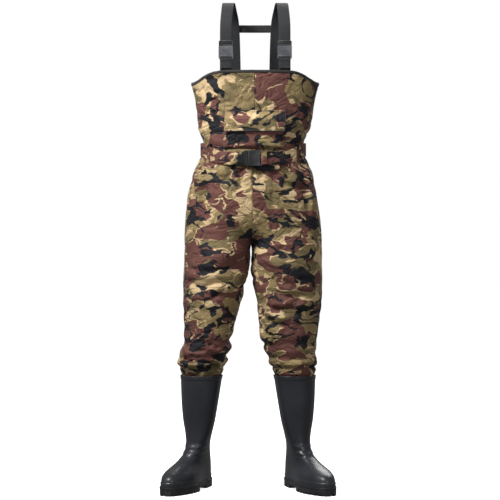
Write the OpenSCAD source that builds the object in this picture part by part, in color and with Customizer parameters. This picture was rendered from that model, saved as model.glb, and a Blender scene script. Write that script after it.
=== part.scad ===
// Chest waders: a fabric bib and legs welded to rubber boots, with a buckled
// waist belt, a flapped chest pocket and H-back shoulder straps.
// The wearer's left is +X and the toes point to -Y. Millimetres.

/* [Garment] */
// Height of the front top edge above the floor
top_h = 1288; // [1270:1:1300]
// Height of the crotch seam above the floor
crotch_h = 757; // [740:1:775]
// Height over which the crotch seam curves up to the front and back
crotch_rise = 150; // [120:5:180]
// Thickness of the coated fabric with its taped seams
fabric_t = 2.5; // [2:0.1:3]
// Shift of the garment's centre behind the middle of the footprint
body_y = 35.5; // [25:0.5:45]

/* [Boots] */
// Height of the boot shaft's top edge
boot_h = 350; // [340:1:360]
// Wall of the moulded boot upper
boot_t = 3; // [2.5:0.1:3.5]
// Thickness of the outsole with its heel
sole_t = 24; // [22:1:26]
// Depth of the tread
tread_d = 7; // [4:0.5:9]
// Angle that each foot points outwards
toe_out = 24; // [10:1:28]

/* [Webbing] */
// Width of the shoulder webbing
strap_w = 36; // [30:1:38]
// Width of the waist belt
belt_w = 40; // [36:1:42]
// Width of the cross strap between the shoulders
cross_w = 24; // [20:1:28]
// Thickness of all webbing
web_t = 1.8; // [1.6:0.1:1.9]
// Height of the tops of the shoulder straps
shoulder_h = 1507; // [1490:1:1520]

/* [Buckles] */
// Travel that takes a plug clear of its socket
plug_travel = 30; // [27:1:32]
// Angle that each locking arm is squeezed inwards
arm_pinch = 15; // [12:1:16]

/* [Hidden] */
NODES = [
    "front_right_panel", "front_left_panel", "back_right_panel", "back_left_panel",
    "hem_binding", "front_seam_tape", "back_seam_tape",
    "chest_pocket", "pocket_loop_strip", "pocket_flap", "flap_hook_strip",
    "waist_belt", "belt_loops",
    "waist_socket", "waist_plug", "waist_arm_upper", "waist_arm_lower",
    "right_strap", "left_strap", "cross_strap", "right_tab", "left_tab",
    "right_socket", "right_plug", "right_arm_outer", "right_arm_inner",
    "left_socket", "left_plug", "left_arm_outer", "left_arm_inner",
    "right_boot", "left_boot", "right_outsole", "left_outsole",
    "right_insole", "left_insole", "right_lining", "left_lining",
    "right_cuff_seal", "left_cuff_seal"
];
node = "all";
RIGHT = -1;
LEFT = 1;
$fn = 32;

camo = [0.48, 0.42, 0.26];
camo_dark = [0.36, 0.24, 0.19];
black_web = [0.13, 0.13, 0.14];
black_plastic = [0.09, 0.09, 0.10];
boot_rubber = [0.14, 0.14, 0.15];
sole_rubber = [0.11, 0.11, 0.12];
lining_grey = [0.45, 0.45, 0.46];
tape_grey = [0.30, 0.30, 0.31];

// Trunk stations: height, half width, half depth in front, half depth behind, centre x
trunk = [
    [crotch_h, 216, 116, 128, 15],
    [830, 212, 119, 132, 15],
    [896, 203, 117, 130, 14],
    [958, 189, 111, 121, 14],
    [1000, 175, 106, 112, 15],
    [1036, 160, 102, 106, 16],
    [1083, 157, 104, 106, 17],
    [1120, 172, 108, 110, 20],
    [1180, 181, 112, 114, 22],
    [1230, 189, 116, 117, 22],
    [1272, 199, 120, 118, 22]
];

// Leg stations: height, half width, half depth, centre x, centre y.
right_leg = [
    [boot_h - 32, 57.8, 66, -147, 4],
    [boot_h + 6, 61, 67.8, -144.8, 3],
    [368, 64.6, 71.5, -144, 3],
    [392, 71, 79, -147, 2],
    [425, 72, 84, -137, 1],
    [460, 71, 88, -127, 0],
    [522, 79, 94, -119, 0],
    [584, 90, 102, -111, 0],
    [646, 99, 110, -103, 1],
    [709, 101, 115, -97, 3],
    [crotch_h, 104, 118, -95, 4]
];
left_leg = [
    [boot_h - 32, 57.8, 66, 147, 4],
    [boot_h + 6, 61, 67.8, 144.8, 3],
    [368, 64.6, 71.5, 144, 3],
    [392, 71, 79, 139, 2],
    [425, 76, 84, 134, 1],
    [460, 85, 90, 129, 0],
    [522, 93, 97, 128, 0],
    [584, 100, 104, 128, 0],
    [646, 107, 111, 124, 1],
    [709, 109, 116, 121, 3],
    [crotch_h, 112, 118, 121, 4]
];

// Boot stations: height, back radius, front radius, half width, spread at the ball, centre x
boot = [
    [sole_t, 78, 211, 39, 15, 166],
    [42, 79, 209, 40, 15, 166],
    [58, 78, 197, 40, 12, 166],
    [70, 75, 168, 39.5, 7, 165],
    [82, 70, 130, 38.5, 2, 163],
    [96, 65, 100, 37, 0, 160.5],
    [114, 60, 78, 36, 0, 158],
    [138, 57.5, 65, 37, 0, 156],
    [168, 60, 61, 42, 0, 154],
    [210, 68, 61, 50.5, 0, 152.5],
    [260, 74, 64, 57, 0, 150.5],
    [310, 76, 67, 62, 0, 147.5],
    [boot_h, 76, 70, 65.5, 0, 145]
];
ball_at = 130;     // distance from the ankle to the ball of the foot
toe_bias = 5;      // how far the toes curve to the inside
box_e = 0.9;       // below 1, sections are squarer than an ellipse

panel_low = boot_h - 32;
panel_high = 1272;      // before the top edge is shaped
fabric_rows = 38;
panel_cols = 12;
boot_cols = 32;

belt_h = 1020;         // middle of the belt at the buckle
belt_side_rise = 32;   // how much higher it sits at the sides and back
belt_loop_at = [0.30, 0.62, 0.86];
buckle_x = 4;          // mouth of the waist socket
buckle_y = -123;       // middle plane of the waist buckle
strap_x = 90;          // shoulder buckle to the middle of the chest
strap_back_x = 63;
chest_x = 22;          // middle of the chest
mouth_h = 1364;        // mouth of each shoulder socket
tab_y = -103.5;        // middle plane of the shoulder buckles
web_back = 7.6;        // webbing plane behind a buckle's middle plane
front_run_y = tab_y + web_back;

pocket_half = 92;      // half width of the chest pocket
pocket_low = 1048;
pocket_mouth = 1136;
flap_low = 1103;
flap_high = 1166;

// ---------- interpolation along a table of stations ----------

function seg(t, z, i = 0) = (i >= len(t) - 2 || z < t[i + 1][0]) ? i : seg(t, z, i + 1);
function slope(t, i) =
    let (a = max(0, i - 1), b = min(len(t) - 1, i + 1)) (t[b] - t[a]) / (t[b][0] - t[a][0]);
function row_at(t, z) =
    let (i = seg(t, z), h = t[i + 1][0] - t[i][0], u = (z - t[i][0]) / h)
    (2 * u^3 - 3 * u^2 + 1) * t[i] + (u^3 - 2 * u^2 + u) * h * slope(t, i)
    + (3 * u^2 - 2 * u^3) * t[i + 1] + (u^3 - u^2) * h * slope(t, i + 1);
function ease(a, b, x) = let (u = min(1, max(0, (x - a) / (b - a)))) u * u * (3 - 2 * u);
function mix(a, b, w) = a * (1 - w) + b * w;
function unit(v) = v / max(norm(v), 0.000001);

// ---------- the garment's surface ----------

// Half of the trunk: t runs from the front middle (0) by the side (0.5) to the back middle (1)
function trunk_pt(side, t, z, inset) =
    let (r = row_at(trunk, z), c = cos(180 * t), s = abs(sin(180 * t)))
    [r[4] + side * (r[1] - inset) * s^box_e,
     -(c >= 0 ? r[2] - inset : inset - r[3]) * abs(c)^box_e];

// One leg: t runs from the inseam (0) by the front (0.25) and outer side (0.5) to the back
function leg_pt(side, t, z, inset) =
    let (r = row_at(side == LEFT ? left_leg : right_leg, z))
    [r[3] - side * (r[1] - inset) * cos(360 * t), r[4] - (r[2] - inset) * sin(360 * t)];

function trunk_share(z) =
    let (u = min(1, max(0, (z - crotch_h) / crotch_rise))) sqrt(1 - (1 - u)^2);

// The top edge is level across the front and lower at the sides
function top_drop(t) = -30 * ease(0.16, 0.40, t) + 8 * ease(0.6, 0.95, t);
function body_pt(side, t, z, inset = 0) =
    let (w = trunk_share(z),
         p = mix(leg_pt(side, t, min(z, crotch_h), inset),
                 trunk_pt(side, t, max(z, crotch_h), inset), w))
    [p[0], p[1], z + (top_drop(t) + top_h - panel_high) * ease(1150, panel_high, z)];

// The same surface as it is faceted from row to row, for what lies against it
row_step = (panel_high - panel_low) / fabric_rows;
function row_z(i) = panel_low + row_step * i;
function on_fabric(side, t, z, inset = 0) =
    let (i = min(fabric_rows - 1, floor((z - panel_low) / row_step)), u = (z - row_z(i)) / row_step)
    mix(body_pt(side, t, row_z(i), inset), body_pt(side, t, row_z(i + 1), inset), u);
function rows_between(z0, z1) = concat(
    [z0], [for (i = [0:fabric_rows]) if (row_z(i) > z0 + 1 && row_z(i) < z1 - 1) row_z(i)], [z1]);

// ---------- solids swept from grids of points ----------

function flip_faces(faces) = [for (f = faces) [f[0], f[2], f[1]]];
function quad(a, b, c, d) = [[a, b, c], [a, c, d]];

// A wall between an outer and an inner grid of points, open or closed round its columns
module wall(outer, inner, closed = false, flip = false) {
    rows = len(outer);
    cols = len(outer[0]);
    last = closed ? cols - 1 : cols - 2;
    n = rows * cols;
    function o(i, j) = i * cols + j % cols;
    function q(i, j) = n + o(i, j);
    sides = [for (i = [0:rows - 2], j = [0:last]) each concat(
        quad(o(i, j), o(i + 1, j), o(i + 1, j + 1), o(i, j + 1)),
        quad(q(i, j), q(i, j + 1), q(i + 1, j + 1), q(i + 1, j)))];
    ends = [for (j = [0:last]) each concat(
        quad(o(0, j), o(0, j + 1), q(0, j + 1), q(0, j)),
        quad(o(rows - 1, j + 1), o(rows - 1, j), q(rows - 1, j), q(rows - 1, j + 1)))];
    edges = closed ? [] : [for (i = [0:rows - 2]) each concat(
        quad(o(i + 1, 0), o(i, 0), q(i, 0), q(i + 1, 0)),
        quad(o(i, cols - 1), o(i + 1, cols - 1), q(i + 1, cols - 1), q(i, cols - 1)))];
    faces = concat(sides, ends, edges);
    polyhedron(concat([for (r = outer) each r], [for (r = inner) each r]),
               flip ? flip_faces(faces) : faces);
}

// A flat band of webbing along a path; its width lies along the vector across
module ribbon(path, across, width, thick) {
    n = len(path);
    function ring(k) = let (
        t = unit(path[min(n - 1, k + 1)] - path[max(0, k - 1)]),
        up = unit(cross(t, across)),
        w = across * width / 2, u = up * thick / 2, p = path[k])
        [p - w - u, p + w - u, p + w + u, p - w + u];
    sides = [for (k = [0:n - 2], c = [0:3]) each quad(
        4 * k + (c + 1) % 4, 4 * k + c, 4 * (k + 1) + c, 4 * (k + 1) + (c + 1) % 4)];
    caps = [[0, 1, 2], [0, 2, 3], [4 * n - 1, 4 * n - 2, 4 * n - 3], [4 * n - 1, 4 * n - 3, 4 * n - 4]];
    polyhedron([for (k = [0:n - 1]) each ring(k)], concat(sides, caps));
}

// Points of a smooth curve through a list of places, a few steps to each span
function smooth_path(p, steps = 4) = concat(
    [for (i = [0:len(p) - 2], k = [0:steps - 1]) let (
        u = k / steps, a = p[max(0, i - 1)], b = p[i], c = p[i + 1], d = p[min(len(p) - 1, i + 2)])
        (2 * b + (c - a) * u + (2 * a - 5 * b + 4 * c - d) * u^2
         + (3 * b - a - 3 * c + d) * u^3) / 2],
    [p[len(p) - 1]]);

module place() { translate([0, body_y, 0]) children(); }

// ---------- garment ----------

// A quarter of the garment, from the boot to the top edge. half 0 is the front, 1 the back
module body_panel(side, half) {
    function t(j) = 0.5 * half + 0.5 * j / panel_cols;
    function grid(inset) = [for (i = [0:fabric_rows])
        [for (j = [0:panel_cols]) body_pt(side, t(j), row_z(i), inset)]];
    color(half == 0 ? camo : camo_dark) place() wall(grid(0), grid(fabric_t), flip = side == RIGHT);
}

// A closed ring of points round the trunk, from the front middle by the left side
function trunk_ring(z, inset, cols) = concat(
    [for (j = [0:cols]) on_fabric(LEFT, j / cols, z, inset)],
    [for (j = [cols - 1:-1:1]) on_fabric(RIGHT, j / cols, z, inset)]);

module hem_binding() {
    function grid(inset) = [for (z = [panel_high - 14, panel_high]) trunk_ring(z, inset, 2 * panel_cols)];
    color(black_web) place() wall(grid(-1.6), grid(-0.4), closed = true);
}

// Sealing tape inside a middle seam. half 0 is the front, 1 the back
module seam_tape(half) {
    path = [for (i = [24:fabric_rows - 1]) body_pt(LEFT, half, row_z(i), fabric_t + 0.7)];
    color(tape_grey) place() ribbon(path, [1, 0, 0], 20, 0.6);
}

// ---------- chest pocket ----------

// A point on the chest, x from its middle, raised off the fabric
function chest_pt(x, z, raise) =
    let (r = row_at(trunk, z), s = min(1, abs(x) / (r[1] + raise)), t = asin(s^(1 / box_e)) / 180)
    on_fabric(x < 0 ? RIGHT : LEFT, t, z, -raise);

// A piece that follows the chest between two raises, at the heights in zs
module chest_patch(x0, x1, zs, low, high, cols = 10) {
    function grid(raise) = [for (z = zs) [for (j = [0:cols])
        chest_pt(mix(x0, x1, j / cols), z, raise)]];
    place() wall(grid(high), grid(low));
}

// A solid that follows the chest, hollowed from behind and from above
module chest_pocket() {
    rim = 2;
    hollow = pocket_half - rim;
    color(camo) difference() {
        chest_patch(-pocket_half, pocket_half, rows_between(pocket_low, pocket_mouth), 0.3, 10);
        chest_patch(-hollow, hollow, rows_between(pocket_low + rim, pocket_mouth + 9), -4, 8);
    }
}

module pocket_loop_strip() {
    color(black_web) chest_patch(-55, 55, rows_between(1109, 1127), 10.2, 11.2, 8);
}

module flap_hook_strip() {
    color(black_web) chest_patch(-55, 55, rows_between(1109, 1127), 11.5, 12.5, 8);
}

// Level over the pocket, then down to the seam that it swings on
module pocket_flap() {
    zs = concat(rows_between(flap_low, pocket_mouth + 2), [1143, 1147, 1151, 1155, 1159, flap_high]);
    function settle(z) = 11.6 * ease(pocket_mouth + 2, 1160, z);
    function grid(raise) = [for (z = zs) [for (j = [0:12])
        chest_pt(mix(-pocket_half - 1, pocket_half + 1, j / 12), z, raise - settle(z))]];
    color(camo_dark) place() wall(grid(14.7), grid(12.7));
}

// ---------- belt ----------

function belt_z(t) = belt_h + belt_side_rise * ease(0.12, 0.42, t);
// Clear of the fabric over the belt's whole width
function belt_row(z) = let (
    r = [for (k = [-1:0.25:1]) row_at(trunk, z + k * (belt_w / 2 + 3))])
    [z, max([for (q = r) q[1]]), max([for (q = r) q[2]]), max([for (q = r) q[3]]), r[4][4]];
function belt_ring(side, t, raise) =
    let (r = belt_row(belt_z(t)), c = cos(180 * t), s = abs(sin(180 * t)))
    [r[4] + side * (r[1] + raise) * s^box_e,
     -(c >= 0 ? r[2] + raise : -raise - r[3]) * abs(c)^box_e, belt_z(t)];
// Round the waist the belt lies on the fabric; in front it runs straight across
function belt_pt(side, t) =
    let (p = belt_ring(side, t, 1.8),
         front_y = buckle_y + web_back,
         near = 1 - ease(56, 112, abs(p[0] - 16)))
    [p[0], t < 0.5 ? mix(p[1], min(p[1], side == LEFT ? buckle_y : front_y), near) : p[1], belt_z(t)];

// From the loop on the socket's bar, round the back, behind the buckle, to the hanging end
module waist_belt() {
    x = buckle_x;
    y = buckle_y;
    bar_loop = [[x + 54, y - 2.2], [x + 48, y - 2.6], [x + 44, y - 3.4], [x + 39, y - 3.6],
                [x + 35.6, y - 2.4], [x + 34.9, y], [x + 35.6, y + 2.4], [x + 39, y + 3.6],
                [x + 44, y + 3.4], [x + 48, y + 1.6], [x + 54, y]];
    round_left = [for (t = [0.17:0.04:1]) belt_pt(LEFT, t)];
    round_right = [for (t = [0.98:-0.04:0.17]) belt_pt(RIGHT, t)];
    straight = [for (px = [-42, -20, 6]) [px, y + web_back, belt_h]];
    tail = [[18, y + web_back, belt_h - 4], [34, y + web_back + 0.6, belt_h - 14],
            [52, y + web_back + 2.2, belt_h - 20], [74, y + web_back + 4.8, belt_h - 18],
            [92, y + web_back + 8.2, belt_h - 12]];
    color(camo_dark) place() ribbon(concat(
        [for (p = bar_loop) [p[0], p[1], belt_h]], round_left, round_right, straight, tail),
        [0, 0, 1], belt_w, web_t);
}

// A strip of fabric sewn above and below the belt
module belt_loop(side, t) {
    zc = belt_z(t);
    p = on_fabric(side, t, zc);
    q = on_fabric(side, t + 0.01, zc);
    along = unit([q[0] - p[0], q[1] - p[1], 0]);
    out = side * cross(along, [0, 0, 1]);
    belt = belt_ring(side, t, 1.8);
    front = (belt - p) * out + web_t / 2 + 1.2;
    function at(z, raise) = let (b = on_fabric(side, t, z)) [b[0], b[1], z] + out * raise;
    function over(z) = [p[0], p[1], z] + out * front;
    ribbon([at(zc - 34, 1), at(zc - 27, 1.2), over(zc - 22.5), over(zc), over(zc + 22.5),
            at(zc + 27, 1.2), at(zc + 34, 1)], along, 12, 1);
}

module belt_loops() {
    color(camo) place() for (side = [RIGHT, LEFT], t = belt_loop_at) belt_loop(side, t);
}

// ---------- side-release buckles ----------
// Local frame: x from the mouth (0) to the webbing bar, y from front (-) to back, z across

module slab(points, y0, y1) {
    translate([0, y1, 0]) rotate([90, 0, 0]) linear_extrude(y1 - y0) polygon(points);
}

module buckle_socket(web) {
    h = web / 2 + 4;
    gap = web / 2 + 0.6;
    color(black_plastic) difference() {
        slab([[0, -h + 2], [2, -h], [36, -h], [42, -h + 4], [42, h - 4], [36, h], [2, h], [0, h - 2]], -6, 6);
        translate([-1, -3.6, -(h - 3)]) cube([31, 7.2, 2 * (h - 3)]);
        translate([8.5, -3.6, -h - 1]) cube([18.5, 7.2, 2 * h + 2]);
        translate([33.4, -7, -gap]) cube([4, 14, 2 * gap]);
        translate([37.3, -7, -gap]) cube([6, 5.1, 2 * gap]);
        translate([37.3, 1.9, -gap]) cube([6, 5.1, 2 * gap]);
    }
}

module buckle_plug(web) {
    h = web / 2 + 3.4;
    gap = web / 2 + 0.7;
    color(black_plastic) union() {
        difference() {
            slab([[-16, -h + 3], [-13, -h], [-0.4, -h], [-0.4, h], [-13, h], [-16, h - 3]], -4.5, 4.5);
            translate([-13, -5, -gap]) cube([3.4, 5, 2 * gap]);
            translate([-7.4, -5, -gap]) cube([2.6, 5, 2 * gap]);
        }
        translate([-1, -2.5, -2.6]) cube([26, 5, 5.2]);
        for (side = [-1, 1])
            translate([-16, 4, side * (gap + h) / 2 - (h - gap) / 2]) cube([8, 7.2, h - gap]);
        translate([-16, 9.2, -h]) cube([8, 2, 2 * h]);
    }
}

// One locking arm; flip it for the other side. Its pivot is the round root
function arm_pivot_z(web) = web / 2 - 3;
module buckle_arm(web) {
    h = web / 2 + 4;
    p = arm_pivot_z(web);
    color(black_plastic) union() {
        translate([2.2, 3.2, p]) rotate([90, 0, 0]) cylinder(r = 2, h = 6.4);
        slab([[2.2, p - 2], [26, p - 2], [26, p + 3], [23, h - 1.6], [18, h + 0.4], [11, h - 1.2],
              [10, p + 2], [2.2, p + 2]], -3.2, 3.2);
    }
}

// Puts a buckle piece at the waist, or on a shoulder with its mouth up
module at_waist() { place() translate([buckle_x, buckle_y, belt_h]) children(); }
module at_shoulder(side) {
    place() translate([chest_x + side * strap_x, tab_y, mouth_h]) rotate([0, 90, 0]) children();
}
module other_side() { mirror([0, 0, 1]) children(); }

// ---------- shoulder straps ----------

// From the free end behind the socket, up, over the shoulder and down inside the back
module shoulder_strap(side) {
    f = chest_x + side * strap_x;
    b = chest_x + side * strap_back_x;
    top = chest_x + side * 84;
    y = front_run_y;
    // The webbing's middle surface is half its thickness below the strap's top
    crest = shoulder_h - web_t / 2;
    bend = smooth_path([[f, y, mouth_h + 50], [f - side * 1, y + 6, 1444], [f - side * 4, y + 25, 1480],
        [top, y + 60, crest - 3], [top - side * 4, -10, crest], [top - side * 8, 30, 1492],
        [b + side * 6, 58, 1458], [b + side * 3, 74, 1410], [b + side * 1, 90, 1340],
        [b, 102, 1275], [b, 103.5, 1240]]);
    color(black_web) place() ribbon(concat([[f, y, mouth_h - 66], [f, y, mouth_h]], bend),
                                    [1, 0, 0], strap_w, web_t);
}

// Sewn on the backs of both shoulder straps
module cross_strap() {
    z = 1440;
    y = 73.5;
    color(black_web) place() ribbon(
        [[chest_x - 84, y, z], [chest_x - 40, y + 2, z], [chest_x, y + 3, z], [chest_x + 40, y + 2, z],
         [chest_x + 84, y, z]], [0, 0, 1], cross_w, web_t);
}

// Webbing that is sewn inside the front top edge and holds a socket by its bar
module front_tab(side) {
    x = chest_x + side * strap_x;
    bar = mouth_h - 35;
    path = [[9.2, 1238], [6.6, 1262], [3.6, 1288], [0, 1306], [0, bar - 19], [1.6, bar - 13],
            [3.4, bar - 9], [3.6, bar - 4],
            [2.4, bar - 0.6], [0, bar + 0.1], [-2.4, bar - 0.6], [-3.6, bar - 4], [-3.4, bar - 9],
            [-2.4, bar - 13], [-2.1, bar - 19], [-2.1, bar - 34]];
    color(black_web) place() ribbon([for (p = path) [x, tab_y + p[0], p[1]]], [1, 0, 0], strap_w, web_t);
}

// ---------- boots ----------

function boot_turn(z) = toe_out * (1 - ease(70, 190, z));
// A point round a boot: a is 0 at the heel and 180 at the toe
function boot_pt(a, r, grow = 0) =
    let (c = -cos(a), s = -sin(a),
         f = c >= 0 ? (r[2] + grow) * c^0.86 : -(r[1] + grow) * abs(c)^0.92,
         ball = ease(-10, ball_at, f),
         l = sign(s) * abs(s)^0.86 * (r[3] + r[4] * ball + grow) - toe_bias * ball * (r[4] / 14),
         turn = boot_turn(r[0]))
    [r[5] + l * cos(turn) + f * sin(turn), l * sin(turn) - f * cos(turn), r[0]];

boot_z = [sole_t, 32, 42, 52, 60, 66, 71, 76, 82, 89, 97, 108, 122, 140, 165, 195, 230, 270, 310, boot_h];
function boot_grid() = [for (z = boot_z) let (r = row_at(boot, z))
    [for (j = [0:boot_cols - 1]) boot_pt(360 * j / boot_cols, [z, r[1], r[2], r[3], r[4], r[5]])]];

// Moves each point of a closed grid inwards along the surface's own direction
function inward(g, d) = let (rows = len(g), cols = len(g[0]))
    [for (i = [0:rows - 1]) [for (j = [0:cols - 1])
        let (up = g[min(rows - 1, i + 1)][j] - g[max(0, i - 1)][j],
             round = g[i][(j + 1) % cols] - g[i][(j + cols - 1) % cols],
             n = unit(cross(round, up)),
             level = i == 0 || i == rows - 1)
        g[i][j] - d * (level ? unit([n[0], n[1], 0]) : n)]];

// The model is drawn as the left boot and mirrored for the right one
module each_side(side) { place() mirror([side == RIGHT ? 1 : 0, 0, 0]) children(); }

module boot_upper(side) {
    g = boot_grid();
    color(boot_rubber) each_side(side) wall(g, inward(g, boot_t), closed = true);
}

module boot_lining(side) {
    g = [for (row = boot_grid()) if (row[0][2] >= 32 && row[0][2] <= 311) row];
    color(lining_grey) each_side(side) wall(inward(g, boot_t + 0.3), inward(g, boot_t + 1.2), closed = true);
}

function sole_outline(grow) = let (r = boot[0])
    [for (j = [0:boot_cols - 1]) let (p = boot_pt(360 * j / boot_cols, r, grow)) [p[0], p[1]]];

// Turns children, drawn with the toe towards -Y, to the foot's own direction
module along_foot() { translate([boot[0][5], 0, 0]) rotate([0, 0, toe_out]) children(); }

module outsole(side) {
    color(sole_rubber) each_side(side) difference() {
        linear_extrude(sole_t) polygon(sole_outline(3.5));
        along_foot() {
            translate([-80, -72, -1]) cube([160, 64, 12]);
            for (f = [92:22:200]) translate([-80, -f - 7, -1]) cube([160, 7, tread_d + 1]);
            translate([-4, -230, -1]) cube([8, 158, tread_d + 1]);
            for (f = [18, 44]) translate([-80, f, -1]) cube([160, 6, tread_d + 1]);
        }
    }
}

module insole(side) {
    color(lining_grey) each_side(side)
        translate([0, 0, sole_t + 0.3]) linear_extrude(4) polygon(sole_outline(-6));
}

// Sealing band that grips the fabric cuff inside the top of the boot
module cuff_seal(side) {
    function grid(inset) = [for (z = [panel_low + 1, row_z(1)])
        [for (j = [0:2 * panel_cols - 1]) on_fabric(side, j / (2 * panel_cols), z, inset)]];
    color(tape_grey) place()
        wall(grid(fabric_t + 0.3), grid(fabric_t + 1.2), closed = true, flip = side == RIGHT);
}

// ---------- what is drawn ----------

function drawn(name) = node == "all" || node == name;
if (drawn("front_right_panel")) body_panel(RIGHT, 0);
if (drawn("front_left_panel")) body_panel(LEFT, 0);
if (drawn("back_right_panel")) body_panel(RIGHT, 1);
if (drawn("back_left_panel")) body_panel(LEFT, 1);
if (drawn("hem_binding")) hem_binding();
if (drawn("front_seam_tape")) seam_tape(0);
if (drawn("back_seam_tape")) seam_tape(1);
if (drawn("chest_pocket")) chest_pocket();
if (drawn("pocket_loop_strip")) pocket_loop_strip();
if (drawn("pocket_flap")) pocket_flap();
if (drawn("flap_hook_strip")) flap_hook_strip();
if (drawn("waist_belt")) waist_belt();
if (drawn("belt_loops")) belt_loops();
if (drawn("waist_socket")) at_waist() buckle_socket(belt_w);
if (drawn("waist_plug")) at_waist() buckle_plug(belt_w);
if (drawn("waist_arm_upper")) at_waist() buckle_arm(belt_w);
if (drawn("waist_arm_lower")) at_waist() other_side() buckle_arm(belt_w);
if (drawn("right_strap")) shoulder_strap(RIGHT);
if (drawn("left_strap")) shoulder_strap(LEFT);
if (drawn("cross_strap")) cross_strap();
if (drawn("right_tab")) front_tab(RIGHT);
if (drawn("left_tab")) front_tab(LEFT);
if (drawn("right_socket")) at_shoulder(RIGHT) buckle_socket(strap_w);
if (drawn("right_plug")) at_shoulder(RIGHT) buckle_plug(strap_w);
if (drawn("right_arm_outer")) at_shoulder(RIGHT) other_side() buckle_arm(strap_w);
if (drawn("right_arm_inner")) at_shoulder(RIGHT) buckle_arm(strap_w);
if (drawn("left_socket")) at_shoulder(LEFT) buckle_socket(strap_w);
if (drawn("left_plug")) at_shoulder(LEFT) buckle_plug(strap_w);
if (drawn("left_arm_outer")) at_shoulder(LEFT) buckle_arm(strap_w);
if (drawn("left_arm_inner")) at_shoulder(LEFT) other_side() buckle_arm(strap_w);
if (drawn("right_boot")) boot_upper(RIGHT);
if (drawn("left_boot")) boot_upper(LEFT);
if (drawn("right_outsole")) outsole(RIGHT);
if (drawn("left_outsole")) outsole(LEFT);
if (drawn("right_insole")) insole(RIGHT);
if (drawn("left_insole")) insole(LEFT);
if (drawn("right_lining")) boot_lining(RIGHT);
if (drawn("left_lining")) boot_lining(LEFT);
if (drawn("right_cuff_seal")) cuff_seal(RIGHT);
if (drawn("left_cuff_seal")) cuff_seal(LEFT);
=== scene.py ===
# %% [markdown]
# # Chest waders
# These are boot-foot waders: a coated camouflage garment whose legs end inside rubber boots, held
# up by webbing braces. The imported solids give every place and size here. Soft parts get new
# meshes around them, and hard parts keep their solids under rounded edges and better finishes.

import math

import bmesh
import bpy
import numpy as np
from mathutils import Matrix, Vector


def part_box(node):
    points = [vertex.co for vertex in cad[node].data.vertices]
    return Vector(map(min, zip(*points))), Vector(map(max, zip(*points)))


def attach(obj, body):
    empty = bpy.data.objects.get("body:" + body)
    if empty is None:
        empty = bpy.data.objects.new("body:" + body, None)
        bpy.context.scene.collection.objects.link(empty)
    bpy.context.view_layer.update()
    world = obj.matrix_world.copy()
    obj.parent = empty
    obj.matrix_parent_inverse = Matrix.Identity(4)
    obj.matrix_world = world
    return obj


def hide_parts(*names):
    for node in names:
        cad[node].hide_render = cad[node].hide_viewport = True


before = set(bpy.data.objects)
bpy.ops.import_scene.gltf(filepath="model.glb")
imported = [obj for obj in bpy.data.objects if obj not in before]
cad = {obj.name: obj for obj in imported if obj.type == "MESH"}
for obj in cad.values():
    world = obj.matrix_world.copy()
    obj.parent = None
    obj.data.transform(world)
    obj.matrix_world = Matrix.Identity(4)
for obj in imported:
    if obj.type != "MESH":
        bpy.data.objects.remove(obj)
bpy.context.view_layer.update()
MM = 0.001
ROOT = "waders"
SIDES = {"right": -1, "left": 1}

# %% [markdown]
# ## Camera, floor and light
# A long lens keeps the tall garment free of distortion, as in a catalogue picture. It stands level
# with the thighs, five metres off, so the toes show a little of their tops and the braces show
# both of their runs. A key light up and to the left, a weaker fill and a light behind are all
# wide, so the folds get soft shadows and the boots a gentle gloss. The floor is plain and white.

# %% Set the stage
CAMERA_AT = (0.006, -5.015, 0.74)
LENS = 116.5

camera_data = bpy.data.cameras.new("camera")
camera_data.lens = LENS
camera = bpy.data.objects.new("camera", camera_data)
camera.location = CAMERA_AT
camera.rotation_euler = (math.radians(90), 0, 0)
bpy.context.collection.objects.link(camera)
bpy.context.scene.camera = camera

# The paper behind looks white, but the room gives the object less light than that
world = bpy.data.worlds.new("studio")
bpy.context.scene.world = world
bpy.context.scene.view_settings.view_transform = "Standard"
world.use_nodes = True
room = world.node_tree.nodes
paper, room_light = room["Background"], room.new("ShaderNodeBackground")
paper.inputs["Strength"].default_value = 1.0
paper.inputs["Color"].default_value = (1, 1, 1, 1)
room_light.inputs["Strength"].default_value = 0.24
room_light.inputs["Color"].default_value = (1, 1, 1, 1)
seen, choose = room.new("ShaderNodeLightPath"), room.new("ShaderNodeMixShader")
for wire in ((seen.outputs["Is Camera Ray"], choose.inputs[0]), (room_light.outputs[0], choose.inputs[1]),
             (paper.outputs[0], choose.inputs[2]), (choose.outputs[0], room["World Output"].inputs[0])):
    world.node_tree.links.new(*wire)


def area_light(name, place, aim, size, power):
    data = bpy.data.lights.new(name, "AREA")
    data.shape, data.size, data.size_y, data.energy = "RECTANGLE", size[0], size[1], power
    lamp = bpy.data.objects.new(name, data)
    lamp.location = place
    direction = np.subtract(aim, place)
    lamp.rotation_euler = (
        math.atan2(math.hypot(direction[0], direction[1]), -direction[2]),
        0,
        math.atan2(direction[0], -direction[1]) + math.pi,
    )
    bpy.context.collection.objects.link(lamp)


area_light("key light", place=(-1.1, -1.2, 2.6), aim=(0, 0, 1.0), size=(0.6, 0.6), power=97)
area_light("fill light", place=(1.2, -3.6, 2.0), aim=(0, 0, 0.9), size=(0.7, 1.4), power=36)
area_light("back light", place=(0.8, 3.0, 2.8), aim=(0, 0, 0.9), size=(2.0, 1.4), power=80)
print("camera at", CAMERA_AT)

# %% [markdown]
# ## Writing shader maths as expressions
# A shader is a graph, and long sums of Math nodes are hard to read. Wrapping a socket in a small
# class lets Python operators add those nodes, so a weave can be written as a product of two sines.

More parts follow.
